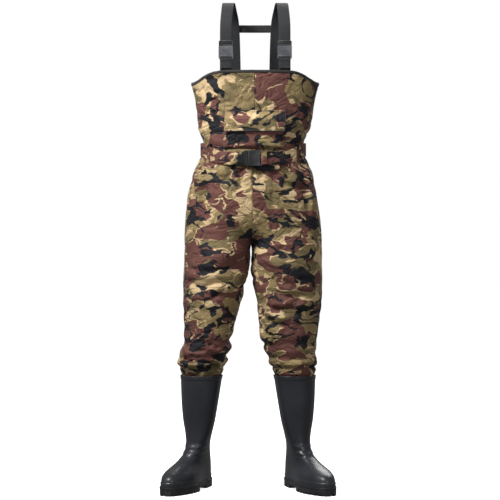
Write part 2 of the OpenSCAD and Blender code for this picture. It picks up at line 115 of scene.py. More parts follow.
# %% Sockets with operators, and a finish that makes nodes
class Wire:
    """A value flowing out of a node. Arithmetic on it adds Math nodes."""

    def __init__(self, finish, socket):
        self.finish, self.socket = finish, socket

    def math(self, operation, *values):
        inputs = dict(enumerate((self,) + values))
        return self.finish.node("ShaderNodeMath", {"operation": operation}, inputs)

    def __add__(self, other):
        return self.math("ADD", other)

    def __mul__(self, other):
        return self.math("MULTIPLY", other)

    def __sub__(self, other):
        return self.math("SUBTRACT", other)

    def __rsub__(self, other):
        return self.finish.node("ShaderNodeMath", {"operation": "SUBTRACT"}, {0: other, 1: self})

    __radd__, __rmul__ = __add__, __mul__

    def sine(self):
        return self.math("SINE")

    def size(self):
        return self.math("ABSOLUTE")

    def ramp(self, low, high, start=0.0, end=1.0):
        """Rises smoothly from start to end as the value goes from low to high."""
        inputs = {"Value": self, "From Min": low, "From Max": high, "To Min": start, "To Max": end}
        return self.finish.node("ShaderNodeMapRange", {"interpolation_type": "SMOOTHSTEP"}, inputs)


class Finish:
    """One material. Its shader's constant sockets are given by name."""

    def __init__(self, name, **constants):
        self.material = bpy.data.materials.new(name)
        self.material.use_nodes = True
        self.tree = self.material.node_tree
        self.shader = self.tree.nodes["Principled BSDF"]
        for key, value in constants.items():
            self.shader.inputs[key.replace("_", " ")].default_value = value

    def put(self, socket, value):
        if isinstance(value, Wire):
            self.tree.links.new(value.socket, socket)
        elif socket.type == "RGBA":
            socket.default_value = (*value, 1)
        else:
            socket.default_value = value

    def node(self, kind, settings=None, inputs=None, output=0):
        made = self.tree.nodes.new(kind)
        for key, value in (settings or {}).items():
            setattr(made, key, value)
        for key, value in (inputs or {}).items():
            self.put(made.inputs[key], value)
        return Wire(self, made.outputs[output])

    def place(self):
        return self.node("ShaderNodeTexCoord", output="Object")

    def cloth(self):
        """The piece's own UV map, in metres on the flat cloth."""
        return self.node("ShaderNodeUVMap", {"uv_map": "cloth"})

    def stretch(self, coords, scale, shift=(0, 0, 0)):
        return self.node("ShaderNodeMapping", {}, {"Vector": coords, "Scale": scale, "Location": shift})

    def parts(self, coords):
        made = self.tree.nodes.new("ShaderNodeSeparateXYZ")
        self.put(made.inputs[0], coords)
        return [Wire(self, out) for out in made.outputs]

    def noise(self, coords, scale, detail=2.0, roughness=0.5, distortion=0.0, colour=False):
        inputs = {"Vector": coords, "Scale": scale, "Detail": detail, "Roughness": roughness}
        inputs["Distortion"] = distortion
        return self.node("ShaderNodeTexNoise", {}, inputs, "Color" if colour else 0)

    def blend(self, share, first, second, how="MIX"):
        inputs = {0: share, 6: first, 7: second}
        return self.node("ShaderNodeMix", {"data_type": "RGBA", "blend_type": how}, inputs, 2)

    def bump(self, height, distance, strength=1.0, under=None):
        inputs = {"Height": height, "Distance": distance, "Strength": strength}
        if under is not None:
            inputs["Normal"] = under
        return self.node("ShaderNodeBump", {}, inputs)

    def set(self, **inputs):
        for key, value in inputs.items():
            self.put(self.shader.inputs[key.replace("_", " ")], value)
        return self.material


# %% [markdown]
# ## Camouflage cloth
# The cloth is a coated nylon weave, printed with flat colours that meet at hard edges: olive
# ground, tan leaves, large maroon-brown patches and black strokes like twigs. Each colour is a
# threshold on its own noise, laid over the ones before it. The coordinates are squeezed so that
# shapes run sideways, and a second noise pushes the edges about, as a brush would.

# %% Print the camouflage
OLIVE = (0.232, 0.170, 0.080)
MOSS = (0.150, 0.114, 0.055)
TAN = (0.480, 0.350, 0.195)
MAROON = (0.118, 0.049, 0.040)
INK = (0.012, 0.012, 0.015)


def camouflage(name, weave=0.0011, offset=(0.0, 0.0, 0.0)):
    finish = Finish(name, Sheen_Weight=0.02, Sheen_Roughness=0.5, Specular_IOR_Level=0.12)
    cloth = finish.cloth()
    flat = finish.stretch(cloth, (1.25, 2.0, 1.25), offset)
    push = finish.noise(flat, 24, 1.0, colour=True)
    pushed = finish.node("ShaderNodeVectorMath", {"operation": "MULTIPLY_ADD"},
                         {0: push, 1: (0.036, 0.036, 0.0), 2: flat})
    ragged = finish.node("ShaderNodeVectorMath", {"operation": "MULTIPLY_ADD"},
                         {0: finish.noise(flat, 60, 1.0, colour=True), 1: (0.016, 0.016, 0.0), 2: pushed})

    def field(scale, shift, detail=1.2, twist=0.6, edges=None):
        at = finish.stretch(edges or pushed, (1, 1, 1), (shift, shift * 0.7, shift * 1.3))
        return finish.noise(at, scale, detail, 0.45, twist)

    ground = finish.blend(field(8.5, 3.1).ramp(0.53, 0.545), OLIVE, MOSS)
    leaves = finish.blend(field(10.0, 7.7).ramp(0.578, 0.588), ground, TAN)
    # A tan twig runs along some edges of the maroon patches
    maroon = field(7.8, 1.9)
    beside = maroon.ramp(0.471, 0.478) * field(11, 9.4).ramp(0.52, 0.53)
    outlined = finish.blend(beside, leaves, TAN)
    patches = finish.blend(maroon.ramp(0.497, 0.504), outlined, MAROON)
    vein = (field(9.5, 5.3, 1.5, 0.9) - 0.5).size().ramp(0.011, 0.017, 1, 0)
    twigs = finish.blend(vein * field(10, 15.2).ramp(0.535, 0.545), patches, TAN)
    stroke = (field(7.0, 11.3, 1.1, 0.9, ragged) - 0.5).size().ramp(0.033, 0.040, 1, 0)
    blot = field(9.5, 21.3, 1.0, 0.7, ragged).ramp(0.635, 0.643)
    black = (stroke * field(8.5, 13.7).ramp(0.508, 0.518)).math("MAXIMUM", blot)
    printed = finish.blend(black, twigs, INK)

    faded = finish.noise(cloth, 5.0, 3.0).ramp(0.3, 0.7, 0.84, 1.12)
    grain = finish.noise(cloth, 900, 2.0).ramp(0.3, 0.7, 0.92, 1.05)
    shade = finish.node("ShaderNodeCombineXYZ", {}, {i: faded * grain for i in range(3)})
    colour = finish.blend(1.0, printed, shade, "MULTIPLY")

    u, v, _ = finish.parts(cloth)
    turn = 2 * math.pi / weave
    threads = (u * turn).sine() * (v * turn).sine()
    creases = finish.noise(finish.stretch(cloth, (1.0, 2.2, 1.0)), 22, 4.0, 0.6, 0.8)
    folded = (finish.noise(finish.stretch(cloth, (1.0, 1.5, 1.0)), 13, 2.0, 0.5, 0.9) - 0.5).size()
    sharp = finish.bump(folded.ramp(0.0, 0.09), 0.0036, 0.65)
    soft = finish.bump(creases, 0.0075, 0.55, sharp)
    return finish.set(
        Base_Color=colour,
        Roughness=finish.noise(cloth, 40, 2.0).ramp(0.3, 0.7, 0.48, 0.62),
        Normal=finish.bump(threads, weave * 0.16, 0.6, soft),
    )


camo_cloth = camouflage("camouflage cloth")
camo_belt = camouflage("camouflage webbing", 0.0016, (2.3, 1.1, 0.0))
print("cloth finishes:", camo_cloth.name, "and", camo_belt.name)

# %% [markdown]
# ## Webbing, plastic and rubber
# Woven elastic shows fine ribs along its length and a herringbone across. Moulded acetal buckles
# are satin with a faint grain. The boots are injection-moulded PVC: dark grey, smooth enough to
# reflect a window, with slow ripples, dust near the sole and a rubbed, lighter look on edges.

# %% Make the other finishes
def webbing(name, colour, rib=0.0016):
    finish = Finish(name, Sheen_Weight=0.15, Specular_IOR_Level=0.3)
    cloth = finish.cloth()
    u, v, _ = finish.parts(cloth)
    ribs = (v * (2 * math.pi / rib)).sine()
    herring = ((u + (v * (math.pi / (rib * 3))).sine() * rib * 0.8) * (2 * math.pi / (rib * 0.9))).sine()
    lint = finish.noise(cloth, 260, 3.0)
    height = ribs * 0.6 + herring * 0.4
    # The colour follows the rib and herringbone height: painted shade darkens the grooves and painted light
    # brightens the crests. The lint noise adds the yarn's own random tone.
    tone = height.ramp(-1, 1, 0.55, 1.25) * lint.ramp(0.3, 0.75, 0.8, 1.35)
    shade = finish.node("ShaderNodeCombineXYZ", {}, {i: tone for i in range(3)})
    return finish.set(
        Base_Color=finish.blend(1.0, finish.blend(lint.ramp(0.62, 0.8, 0, 0.25), colour, (0.05, 0.05, 0.053)),
                                shade, "MULTIPLY"),
        Roughness=lint.ramp(0.3, 0.7, 0.62, 0.8),
        Normal=finish.bump(height, rib * 0.14, 0.8),
    )


def plastic(name, colour, shine):
    finish = Finish(name, Specular_IOR_Level=0.5)
    at = finish.place()
    grain = finish.noise(at, 1800, 2.0)
    wear = finish.noise(at, 70, 4.0, 0.6)
    return finish.set(
        Base_Color=finish.blend(wear.ramp(0.55, 0.8, 0, 0.5), colour, tuple(c * 2.2 + 0.01 for c in colour)),
        Roughness=wear.ramp(0.3, 0.75, shine, shine + 0.14),
        Normal=finish.bump(grain, 0.00008, 0.5),
    )


def moulded_pvc(name, colour, shine, coat):
    finish = Finish(name, Specular_IOR_Level=0.3, Coat_Roughness=0.22)
    at = finish.place()
    height = finish.parts(at)[2]
    cloudy = finish.noise(at, 9, 4.0, 0.55)
    ripple = finish.noise(finish.stretch(at, (1, 1, 0.6)), 22, 2.0)
    scuff = finish.noise(finish.stretch(at, (1, 1, 3.0)), 95, 5.0, 0.7).ramp(0.60, 0.78)
    dust = height.ramp(0.0, 0.16, 0.16, 0.0) * finish.noise(at, 34, 5.0, 0.65).ramp(0.42, 0.7)
    clean = finish.blend(cloudy.ramp(0.35, 0.7), colour, tuple(c * 1.35 for c in colour))
    rubbed = finish.blend(scuff * 0.3, clean, (0.042, 0.043, 0.047))
    fine = finish.noise(at, 1200, 2.0)
    slow = finish.bump(ripple, 0.0022, 0.5)
    return finish.set(
        Base_Color=finish.blend(dust, rubbed, (0.11, 0.10, 0.085)),
        Roughness=cloudy.ramp(0.3, 0.7, shine - 0.03, shine + 0.07) + scuff * 0.12 + dust * 0.4,
        Coat_Weight=(1 - scuff) * coat,
        Normal=finish.bump(fine, 0.00005, 0.35, slow),
    )


def knit(name, colour):
    finish = Finish(name, Sheen_Weight=0.3)
    at = finish.place()
    loops = finish.node("ShaderNodeTexVoronoi", {}, {"Vector": at, "Scale": 700}, "Distance")
    tone = finish.noise(at, 12, 3.0)
    return finish.set(
        Base_Color=finish.blend(tone, tuple(c * 0.8 for c in colour), tuple(c * 1.2 for c in colour)),
        Roughness=tone.ramp(0.3, 0.7, 0.8, 0.95),
        Normal=finish.bump(loops, 0.0003, 0.7),
    )


black_web = webbing("black elastic webbing", (0.0105, 0.011, 0.013))
cross_web = webbing("cross webbing", (0.011, 0.011, 0.012), 0.002)
# The edge tape is real, but its near-black colour is painted shade along the garment's top edge.
edge_tape_painted_shade = webbing("edge tape painted shade", (0.022, 0.019, 0.017), 0.0012)
loop_pile = knit("hook and loop pile", (0.035, 0.033, 0.030))
plug_plastic = plastic("plug plastic", (0.012, 0.012, 0.013), 0.34)
socket_plastic = plastic("socket plastic", (0.055, 0.057, 0.064), 0.26)
boot_pvc = moulded_pvc("boot pvc", (0.0160, 0.0172, 0.0210), 0.37, 0.10)
sole_pvc = moulded_pvc("sole pvc", (0.0125, 0.0130, 0.0155), 0.48, 0.05)
boot_knit = knit("boot lining knit", (0.16, 0.16, 0.165))
coating = plastic("inner coating", (0.045, 0.048, 0.040), 0.48)
seal_tape = plastic("sealing tape", (0.070, 0.072, 0.070), 0.40)
thread = knit("sewing thread", (0.075, 0.058, 0.036))
black_thread = knit("black sewing thread", (0.020, 0.020, 0.022))

# %% [markdown]
# ## The pattern the garment follows
# The garment's true shape is a stack of sections. A trunk section is one oval and a leg section is
# another, and above the crotch the two are mixed. Each section is a row of half widths and depths,
# and the same rows make the solids, so cloth made from them lies on the solids exactly.

# %% Read a section at any height
CROTCH, RISE, PANEL_LOW, PANEL_HIGH, TOP = 757, 150, 318, 1272, 1288
BODY_Y = 35.5
TRUNK = [  # height, half width, depth in front, depth behind, centre x
    [757, 216, 116, 128, 15], [830, 212, 119, 132, 15], [896, 203, 117, 130, 14],
    [958, 189, 111, 121, 14], [1000, 175, 106, 112, 15], [1036, 160, 102, 106, 16],
    [1083, 157, 104, 106, 17], [1120, 172, 108, 110, 20], [1180, 181, 112, 114, 22],
    [1230, 189, 116, 117, 22], [1272, 199, 120, 118, 22],
]
LEG = {  # height, half width, half depth, centre x, centre y
    -1: [[318, 57.8, 66, -147, 4], [356, 61, 67.8, -144.8, 3], [368, 64.6, 71.5, -144, 3],
         [392, 71, 79, -147, 2], [425, 72, 84, -137, 1], [460, 71, 88, -127, 0],
         [522, 79, 94, -119, 0], [584, 90, 102, -111, 0], [646, 99, 110, -103, 1],
         [709, 101, 115, -97, 3], [757, 104, 118, -95, 4]],
    1: [[318, 57.8, 66, 147, 4], [356, 61, 67.8, 144.8, 3], [368, 64.6, 71.5, 144, 3],
        [392, 71, 79, 139, 2], [425, 76, 84, 134, 1], [460, 85, 90, 129, 0],
        [522, 93, 97, 128, 0], [584, 100, 104, 128, 0], [646, 107, 111, 124, 1],
        [709, 109, 116, 121, 3], [757, 112, 118, 121, 4]],
}
BOX_POWER = 0.9


def section(table, height):
    """The row of a table at any height, on a smooth curve through the rows."""
    rows = np.array(table, float)
    height = np.asarray(height, float)
    i = np.clip(np.searchsorted(rows[:, 0], height, side="right") - 1, 0, len(rows) - 2)
    before = np.maximum(np.arange(len(rows)) - 1, 0)
    after = np.minimum(np.arange(len(rows)) + 1, len(rows) - 1)
    slope = (rows[after] - rows[before]) / (rows[after] - rows[before])[:, :1]
    step = (rows[i + 1, 0] - rows[i, 0])[..., None]
    u = (height - rows[i, 0])[..., None] / step
    return ((2 * u**3 - 3 * u**2 + 1) * rows[i] + (u**3 - 2 * u**2 + u) * step * slope[i]
            + (3 * u**2 - 2 * u**3) * rows[i + 1] + (u**3 - u**2) * step * slope[i + 1])


def ease(low, high, value):
    u = np.clip((np.asarray(value, float) - low) / (high - low), 0, 1)
    return u * u * (3 - 2 * u)


def unit(v):
    return v / np.maximum(np.linalg.norm(v, axis=-1, keepdims=True), 1e-12)


def trunk_point(side, t, height, inset):
    r = section(TRUNK, height)
    c, s = np.cos(math.pi * t), np.abs(np.sin(math.pi * t))
    depth = np.where(c >= 0, r[..., 2] - inset, inset - r[..., 3])
    return np.stack([r[..., 4] + side * (r[..., 1] - inset) * s**BOX_POWER,
                     -depth * np.abs(c)**BOX_POWER], -1)


def leg_point(side, t, height, inset):
    r = section(LEG[side], height)
    return np.stack([r[..., 3] - side * (r[..., 1] - inset) * np.cos(2 * math.pi * t),
                     r[..., 4] - (r[..., 2] - inset) * np.sin(2 * math.pi * t)], -1)


def garment_point(side, t, height, inset=0.0):
    """A place on the garment in metres: t goes round one side from the front middle to the back."""
    t, height = np.broadcast_arrays(np.asarray(t, float), np.asarray(height, float))
    u = np.clip((height - CROTCH) / RISE, 0, 1)
    share = np.sqrt(1 - (1 - u)**2)[..., None]
    flat = (leg_point(side, t, np.minimum(height, CROTCH), inset) * (1 - share)
            + trunk_point(side, t, np.maximum(height, CROTCH), inset) * share)
    drop = -30 * ease(0.16, 0.40, t) + 8 * ease(0.6, 0.95, t)
    z = height + (drop + TOP - PANEL_HIGH) * ease(1150, PANEL_HIGH, height)
    return np.concatenate([flat + [0, BODY_Y], z[..., None]], -1) * MM


print("waist is", round(float(section(TRUNK, 1060)[1]) * 2), "mm wide")

# %% [markdown]
# ## From a grid of points to a mesh
# Most pieces here are grids: rings up a leg, or a strip of webbing. One helper turns a grid into
# a mesh with a UV map named "cloth" that is in metres, so weave and print keep their real scale.

# %% Mesh helpers
def add_object(name, mesh, material):
    mesh.materials.append(material)
    mesh.shade_smooth()
    made = bpy.data.objects.new(name, mesh)
    bpy.context.collection.objects.link(made)
    return made


def grid_mesh(name, points, uv, closed=False, material=None):
    """points and uv are rows x columns. closed joins the last column to the first."""
    points, uv = np.asarray(points, float), np.asarray(uv, float)
    rows, cols = points.shape[:2]
    used = cols if closed else cols - 1
    faces, corners = [], []
    for i in range(rows - 1):
        for j in range(used):
            k = (j + 1) % cols
            faces.append((i * cols + j, i * cols + k, (i + 1) * cols + k, (i + 1) * cols + j))
            # uv has one extra column when the grid is closed
            corners += [uv[i, j], uv[i, j + 1], uv[i + 1, j + 1], uv[i + 1, j]]
    mesh = bpy.data.meshes.new(name)
    mesh.from_pydata(points.reshape(-1, 3).tolist(), [], faces)
    layer = mesh.uv_layers.new(name="cloth")
    layer.data.foreach_set("uv", np.array(corners).ravel())
    return add_object(name, mesh, material)


def lengths(points):
    """Distance travelled along the first axis of a path of points."""
    steps = np.linalg.norm(np.diff(points, axis=0), axis=-1)
    return np.concatenate([[0], np.cumsum(steps)])


def smooth_path(points, step=0.004):
    """A curve through the points, resampled to even steps in metres."""
    p = np.array(points, float)
    ends = np.vstack([2 * p[0] - p[1], p, 2 * p[-1] - p[-2]])
    fine = []
    for i in range(1, len(ends) - 2):
        a, b, c, d = ends[i - 1:i + 3]
        u = np.linspace(0, 1, 24, endpoint=False)[:, None]
        fine.append((2 * b + (c - a) * u + (2 * a - 5 * b + 4 * c - d) * u**2
                     + (3 * b - a - 3 * c + d) * u**3) / 2)
    fine = np.vstack(fine + [p[-1:]])
    run = lengths(fine)
    even = np.linspace(0, run[-1], max(2, int(run[-1] / step) + 1))
    return np.stack([np.interp(even, run, fine[:, k]) for k in range(3)], -1)


def apply_modifiers(made):
    """Bakes an object's modifiers into its mesh."""
    graph = bpy.context.evaluated_depsgraph_get()
    mesh = bpy.data.meshes.new_from_object(made.evaluated_get(graph))
    made.modifiers.clear()
    made.data = mesh
    return made


def modifier(made, kind, **settings):
    added = made.modifiers.new(kind.lower(), kind)
    for key, value in settings.items():
        setattr(added, key, value)
    return added


# %% [markdown]
# ## Large folds
# Worn cloth hangs in folds where it is slack: rolls that bunch above the boots, creases behind
# and beside the knees, a fan from the crotch, small pleats under the belt and a soft overhang
# above it. These are shaped by rule, as a sculptor blocks in big forms. The
# simulation further down moves the sheet by a millimetre or two only.

# %% Shape the large folds
BELT_RISE, BELT_LOW = 32, 1020


def belt_height(t):
    return BELT_LOW + BELT_RISE * ease(0.12, 0.42, t)


def ridge(value, centre, width):
    return np.exp(-((value - centre) / width) ** 2)


def wave(side, t, h):
    """A slow, uneven wave from -1 to 1 that differs between the two sides."""
    return (np.sin(h / 41 + 3.1 * side + 5 * t) + np.sin(h / 67 - 9 * t + side) * 0.8
            + np.sin(13 * t + h / 90 - 2 * side) * 0.7) / 2.5


def crease_field(at, seed, across, along, count=7):
    """A smooth random field about 0 over places in mm. Its zero lines become creases."""
    rng = np.random.default_rng(seed)
    total = 0
    for _ in range(count):
        turns = np.array([rng.choice([-1, 1]) / rng.uniform(*across),
                          rng.choice([-1, 1]) / rng.uniform(*across),
                          1 / rng.uniform(*along)])
        total = total + np.sin(2 * math.pi * (at @ turns) + rng.uniform(0, 6.28))
    return total / math.sqrt(count / 2)


def creases(at, seed, across, along, width, depth, puff):
    """Sharp valleys along the zero lines, with soft swellings between them."""
    field = crease_field(at, seed, across, along)
    here = ease(-0.5, 0.7, crease_field(at, seed + 50, (260, 420), (180, 300), 4))
    return (-depth * np.exp(-(field / width) ** 2) + puff * (1 - np.exp(-(field / (width * 4)) ** 2))) * here


def fold_height(side, t, h):
    """How far the cloth stands off its pattern, in mm. Folds lie where the cloth is slack."""
    t, h = np.broadcast_arrays(np.asarray(t, float), np.asarray(h, float))
    w = wave(side, t, h)
    low = h + 7 * np.sin(2 * math.pi * t + 1.2 * side)
    bunch = (-8 * ridge(h, 376, 4.5) + 4 * ridge(low, 387, 6) + 5 * ridge(low, 397, 9)
             - 4 * ridge(low, 413, 7) + 5 * ridge(low, 432, 12)
             - 4 * ridge(low, 456, 8) + 3 * ridge(low, 478, 14)) * (0.7 + 0.5 * w)
    tilt = h + 26 * (t - 0.25) * side
    inner = 1 - ease(0.30, 0.46, np.minimum(t, 1 - t))
    knee = (-6 * ridge(tilt, 553, 7) + 4 * ridge(tilt, 570, 12) - 4 * ridge(tilt, 604, 8)
            + 3 * ridge(tilt, 530, 12) - 3 * ridge(tilt, 640, 9)) * (0.8 + 0.55 * w) * (0.4 + 0.6 * inner)
    # Folds fan out from the crotch towards the hips
    reach = np.hypot(np.minimum(t, 1 - t) * 420, h - 770)
    bearing = np.arctan2(h - 770, np.minimum(t, 1 - t) * 420 + 20)
    fan = 4.0 * np.sin(bearing * 9 + side) * ridge(reach, 95, 60) * ease(25, 60, reach)
    hip_at = 0.27 if side < 0 else 0.30
    hip = -14 * ridge(t, hip_at + (h - 910) * 0.00025, 0.016) * ridge(h, 915, 46) \
        + 8 * ridge(t, hip_at + 0.036, 0.022) * ridge(h, 912, 54)
    belt = belt_height(t)
    pleats = (np.sin(t * 74 + 3 * np.sin(t * 11) + side) * ridge(h, belt - 42, 30) * 2.6
              * ease(20, 30, belt - h))
    above = h - belt
    blouse = (5 * ridge(above, 42, 13) * (1 - 0.75 * ridge(t, 0.5, 0.2))
              + 1.6 * np.sin(t * 61 + side) * ridge(above, 46, 22))
    blouse = blouse * ease(21, 32, above) * (0.75 + 0.4 * w)
    bib = 1.6 * w * ease(1090, 1130, h) * (1 - ease(1225, 1262, h))
    x = np.abs(garment_point(side, t, h)[..., 0] / MM - 22)
    clear = 1 - (1 - ease(94, 118, x)) * (t < 0.5) * ease(1025, 1040, h) * (1 - ease(1170, 1200, h))
    edge = ease(364, 380, h)
    at = garment_point(side, t, h) / MM
    legs = 1 - ease(730, 800, h)
    lying = creases(at, 3, (190, 420), (56, 110), 0.24, 11.0, 7.0)
    lying = lying * ease(352, 380, h) * (legs + 0.35 * (1 - legs))
    slanted = creases(at, 9, (90, 170), (120, 220), 0.24, 8.5, 6.0)
    slanted = slanted * (1 - legs) * (1 - ease(985, 1005, h))
    chest = creases(at, 14, (120, 260), (80, 170), 0.22, 4.5, 4.0)
    chest = chest * ease(1060, 1085, h) * (1 - ease(1240, 1262, h))
    chest = chest * clear * (0.45 + 0.55 * ease(60, 130, x))
    # Down the sides of the legs the cloth hangs straighter than in front and behind
    calm = 1 - 0.6 * (1 - np.abs(np.sin(2 * math.pi * t))) * ease(425, 470, h) * legs
    small = creases(at, 21, (60, 130), (26, 52), 0.25, 2.2, 1.4) * ease(352, 380, h) * (1 - ease(520, 760, h))
    seam = 1 - 0.6 * ridge(t, 0.5, 0.02)
    # The cuff is a flat band that stands as wide as the boot's rim
    cuff = 3.2 * ease(351, 356, h) * (1 - ease(370, 377, h))
    return ((bunch + knee * calm + fan + hip + pleats + (blouse + bib) * clear) * 1.2
            + lying * calm + slanted + chest + small * clear) * edge * seam + cuff


# %% [markdown]
# ## The garment as one sheet
# The cloth is first one connected surface over both legs and the trunk. Its columns run down the
# seams, so the four panels can be cut apart later along the same lines as the real pattern. Rows
# crowd together at the crotch, where the legs part, and at the cuffs, where the folds are tight.

# %% Build the connected sheet
COLS = 96
ROW_STEP = 7.5
CUFF_TOP = 402
rise_shares = np.linspace(0, 1, 17)[1:]
row_heights = np.concatenate([
    np.linspace(PANEL_LOW, CUFF_TOP, int((CUFF_TOP - PANEL_LOW) / ROW_STEP * 2) + 1)[:-1],
    np.linspace(CUFF_TOP, CROTCH, int((CROTCH - CUFF_TOP) / ROW_STEP) + 1),
    CROTCH + RISE * (1 - np.sqrt(1 - rise_shares**2)),
    np.linspace(CROTCH + RISE, PANEL_HIGH, int((PANEL_HIGH - CROTCH - RISE) / ROW_STEP) + 1)[1:],
])
turns = np.linspace(0, 1, COLS + 1)
T, H = np.meshgrid(turns, row_heights)
pattern = {side: garment_point(side, T, H) for side in (-1, 1)}
target = {side: garment_point(side, T, H, -fold_height(side, T, H)) for side in (-1, 1)}
middle = (T < 1e-6) | (T > 1 - 1e-6)
for side in (-1, 1):
    # Both sides meet in the same points, so the middle lines keep the pattern's own place
    joined = middle & (H > CROTCH - 1e-6)
    target[side][joined] = pattern[side][joined]

index = {}
sheet_points = []


def vertex(point):
    key = tuple(np.round(point * 1e5).astype(int))
    if key not in index:
        index[key] = len(sheet_points)
        sheet_points.append(point)
    return index[key]


ids = {side: np.array([[vertex(p) for p in row] for row in pattern[side]]) for side in (-1, 1)}
sheet_points = np.array(sheet_points)
for side in (-1, 1):
    sheet_points[ids[side].ravel()] = target[side].reshape(-1, 3)
sheet_faces = []
for side in (-1, 1):
    g = ids[side]
    quads = np.stack([g[:-1, :-1], g[:-1, 1:], g[1:, 1:], g[1:, :-1]], -1).reshape(-1, 4)
    quads = quads if side == 1 else quads[:, ::-1]
    sheet_faces += quads.tolist()
quads = np.array(sheet_faces)
pairs = np.concatenate([quads[:, [k, (k + 1) % 4]] for k in range(4)])
neighbours = np.bincount(pairs[:, 0], minlength=len(sheet_points))[:, None]


def sheet_normals(points):
    facing = np.cross(points[quads[:, 2]] - points[quads[:, 0]], points[quads[:, 3]] - points[quads[:, 1]])
    total = np.zeros_like(points)
    for k in range(4):
        np.add.at(total, quads[:, k], facing)
    return unit(total)


def even_out(points, share, rounds):
    """Smooths the sheet along its normals only, so the print on it isn't stretched."""
    for _ in range(rounds):
        total = np.zeros_like(points)
        np.add.at(total, pairs[:, 0], points[pairs[:, 1]])
        normals = sheet_normals(points)
        away = ((total / neighbours - points) * normals).sum(-1, keepdims=True)
        points = points + normals * away * 0.5 * share[:, None]
    return points


heights = sheet_points[:, 2] / MM
sheet_points = even_out(sheet_points, ease(725, 752, heights) * (1 - ease(790, 880, heights)), 60)
sheet_points += np.random.default_rng(7).normal(0, 0.00012, sheet_points.shape)
target = {side: sheet_points[ids[side]] for side in (-1, 1)}
print("cloth sheet:", len(sheet_points), "points,", len(sheet_faces), "faces")

# %% [markdown]
# ## Letting the cloth settle
# A short simulation eases the shaped sheet by a millimetre or two, no more. Its rest
# lengths are taken from a bigger copy of the sheet, longer down the legs and wider at the hips. A
# little pressure from inside stands for the body that fills it. The top edge, the belt line, the
# pocket and the cuffs are pinned, since tape, belt and boots hold them.

# %% Pins and rest lengths
def point_values(rule):
    """One value for each sheet point from rule(side, T, H), where sides meet the larger."""
    out = np.zeros(len(sheet_points))
    for side in (-1, 1):
        np.maximum.at(out, ids[side].ravel(), rule(side, T, H).ravel())
    return out


def pin_rule(side, t, h):
    cuff = 1 - ease(366, 376, h)
    edge = ease(1236, 1260, h)
    belt = 1 - ease(15, 26, np.abs(h - belt_height(t)))
    x = pattern[side][..., 0] / MM
    pocket = (1 - ease(92, 108, np.abs(x - 22))) * (t < 0.5) * ease(1030, 1045, h) * (1 - ease(1168, 1186, h))
    tabs = (1 - ease(20, 30, np.abs(np.abs(x - 22) - 90))) * (t < 0.5) * ease(1205, 1225, h)
    return np.max([cuff, edge, belt, pocket, tabs, LOOSE + LOOSE * ease(1090, 1180, h)], 0)


LONG, WIDE, PRESS, BEND, CAP, LOOSE = 0.8, 0.4, 0.1, 0.5, 0.012, 0.25


def cut_size(side):
    """Where the points of the larger rest sheet lie."""
    longer = 0.06 * (1 - ease(430, 620, row_heights)) + 0.03 + 0.02 * ease(1060, 1090, row_heights)
    z = np.concatenate([[0], np.cumsum(np.diff(row_heights) * (1 + LONG * longer[1:]))]) + PANEL_LOW
    wide = 0.03 + 0.03 * ease(700, 900, row_heights) * (1 - ease(1100, 1220, row_heights))
    at = target[side].copy()
    centre = np.where(H < CROTCH, section(LEG[side], np.minimum(H, CROTCH))[..., 3],
                      section(TRUNK, H)[..., 4])
    at[..., 0] += (at[..., 0] - centre * MM) * (WIDE * wide)[:, None]
    at[..., 1] += (at[..., 1] - BODY_Y * MM) * (WIDE * wide)[:, None]
    at[..., 2] += (z - row_heights)[:, None] * MM
    return at


# %% Simulate
GRAVITY_SHARE = 0.08  # the full value would pull the cloth straight


def settle(frames=26):
    """Runs the cloth and returns where each sheet point ends up."""
    mesh = bpy.data.meshes.new("settling cloth")
    mesh.from_pydata(sheet_points.tolist(), [], sheet_faces)
    cloth = bpy.data.objects.new("settling cloth", mesh)
    bpy.context.collection.objects.link(cloth)
    cloth.shape_key_add(name="worn")
    cut = cloth.shape_key_add(name="cut")
    larger = sheet_points.copy()
    for side in (-1, 1):
        larger[ids[side].ravel()] = cut_size(side).reshape(-1, 3)
    cut.data.foreach_set("co", larger.ravel())
    group = cloth.vertex_groups.new(name="pinned")
    for vid, weight in enumerate(point_values(pin_rule)):
        group.add([vid], float(weight), "REPLACE")
    sim = modifier(cloth, "CLOTH")
    s = sim.settings
    s.quality, s.mass, s.air_damping = 6, 0.3, 2.0
    s.tension_stiffness = s.compression_stiffness = 18
    s.shear_stiffness, s.bending_stiffness = 6, BEND
    s.vertex_group_mass, s.pin_stiffness = "pinned", 1.0
    s.rest_shape_key = cut
    s.use_pressure, s.uniform_pressure_force = True, PRESS
    s.effector_weights.gravity = GRAVITY_SHARE
    sim.collision_settings.use_collision = False
    sim.collision_settings.use_self_collision = False
    sim.point_cache.frame_start, sim.point_cache.frame_end = 1, frames
    for number in range(1, frames + 1):
        bpy.context.scene.frame_set(number)
    graph = bpy.context.evaluated_depsgraph_get()
    done = cloth.evaluated_get(graph).to_mesh()
    at = np.empty(len(done.vertices) * 3)
    done.vertices.foreach_get("co", at)
    bpy.context.scene.frame_set(1)
    bpy.data.objects.remove(cloth)
    return at.reshape(-1, 3)


worn = sheet_points.copy()
shift = settle() - sheet_points
far = np.linalg.norm(shift, axis=1, keepdims=True)
worn = sheet_points + shift * np.minimum(1, CAP / np.maximum(far, 1e-9))
print("cloth moved at most", round(float(far.max()) * 1000, 1), "mm, mean",
      round(float(far.mean()) * 1000, 1), "mm")
hanging = {side: worn[ids[side]] for side in (-1, 1)}

# %% [markdown]
# ## Cutting the four panels
# Each panel becomes its own object in place of its solid. Its UV map is the flat pattern piece:
# the distance round from the side seam and the length up that seam, so the print is not
# stretched. A different corner of the printed cloth is used for each, as when cut from a roll.

# %% Cut and thicken the panels
FABRIC = 0.0009
ROLL_PLACE = {"front_right": (0.10, 0.30), "front_left": (1.42, 0.85),
              "back_right": (2.77, 1.36), "back_left": (3.61, 0.12)}
half = COLS // 2


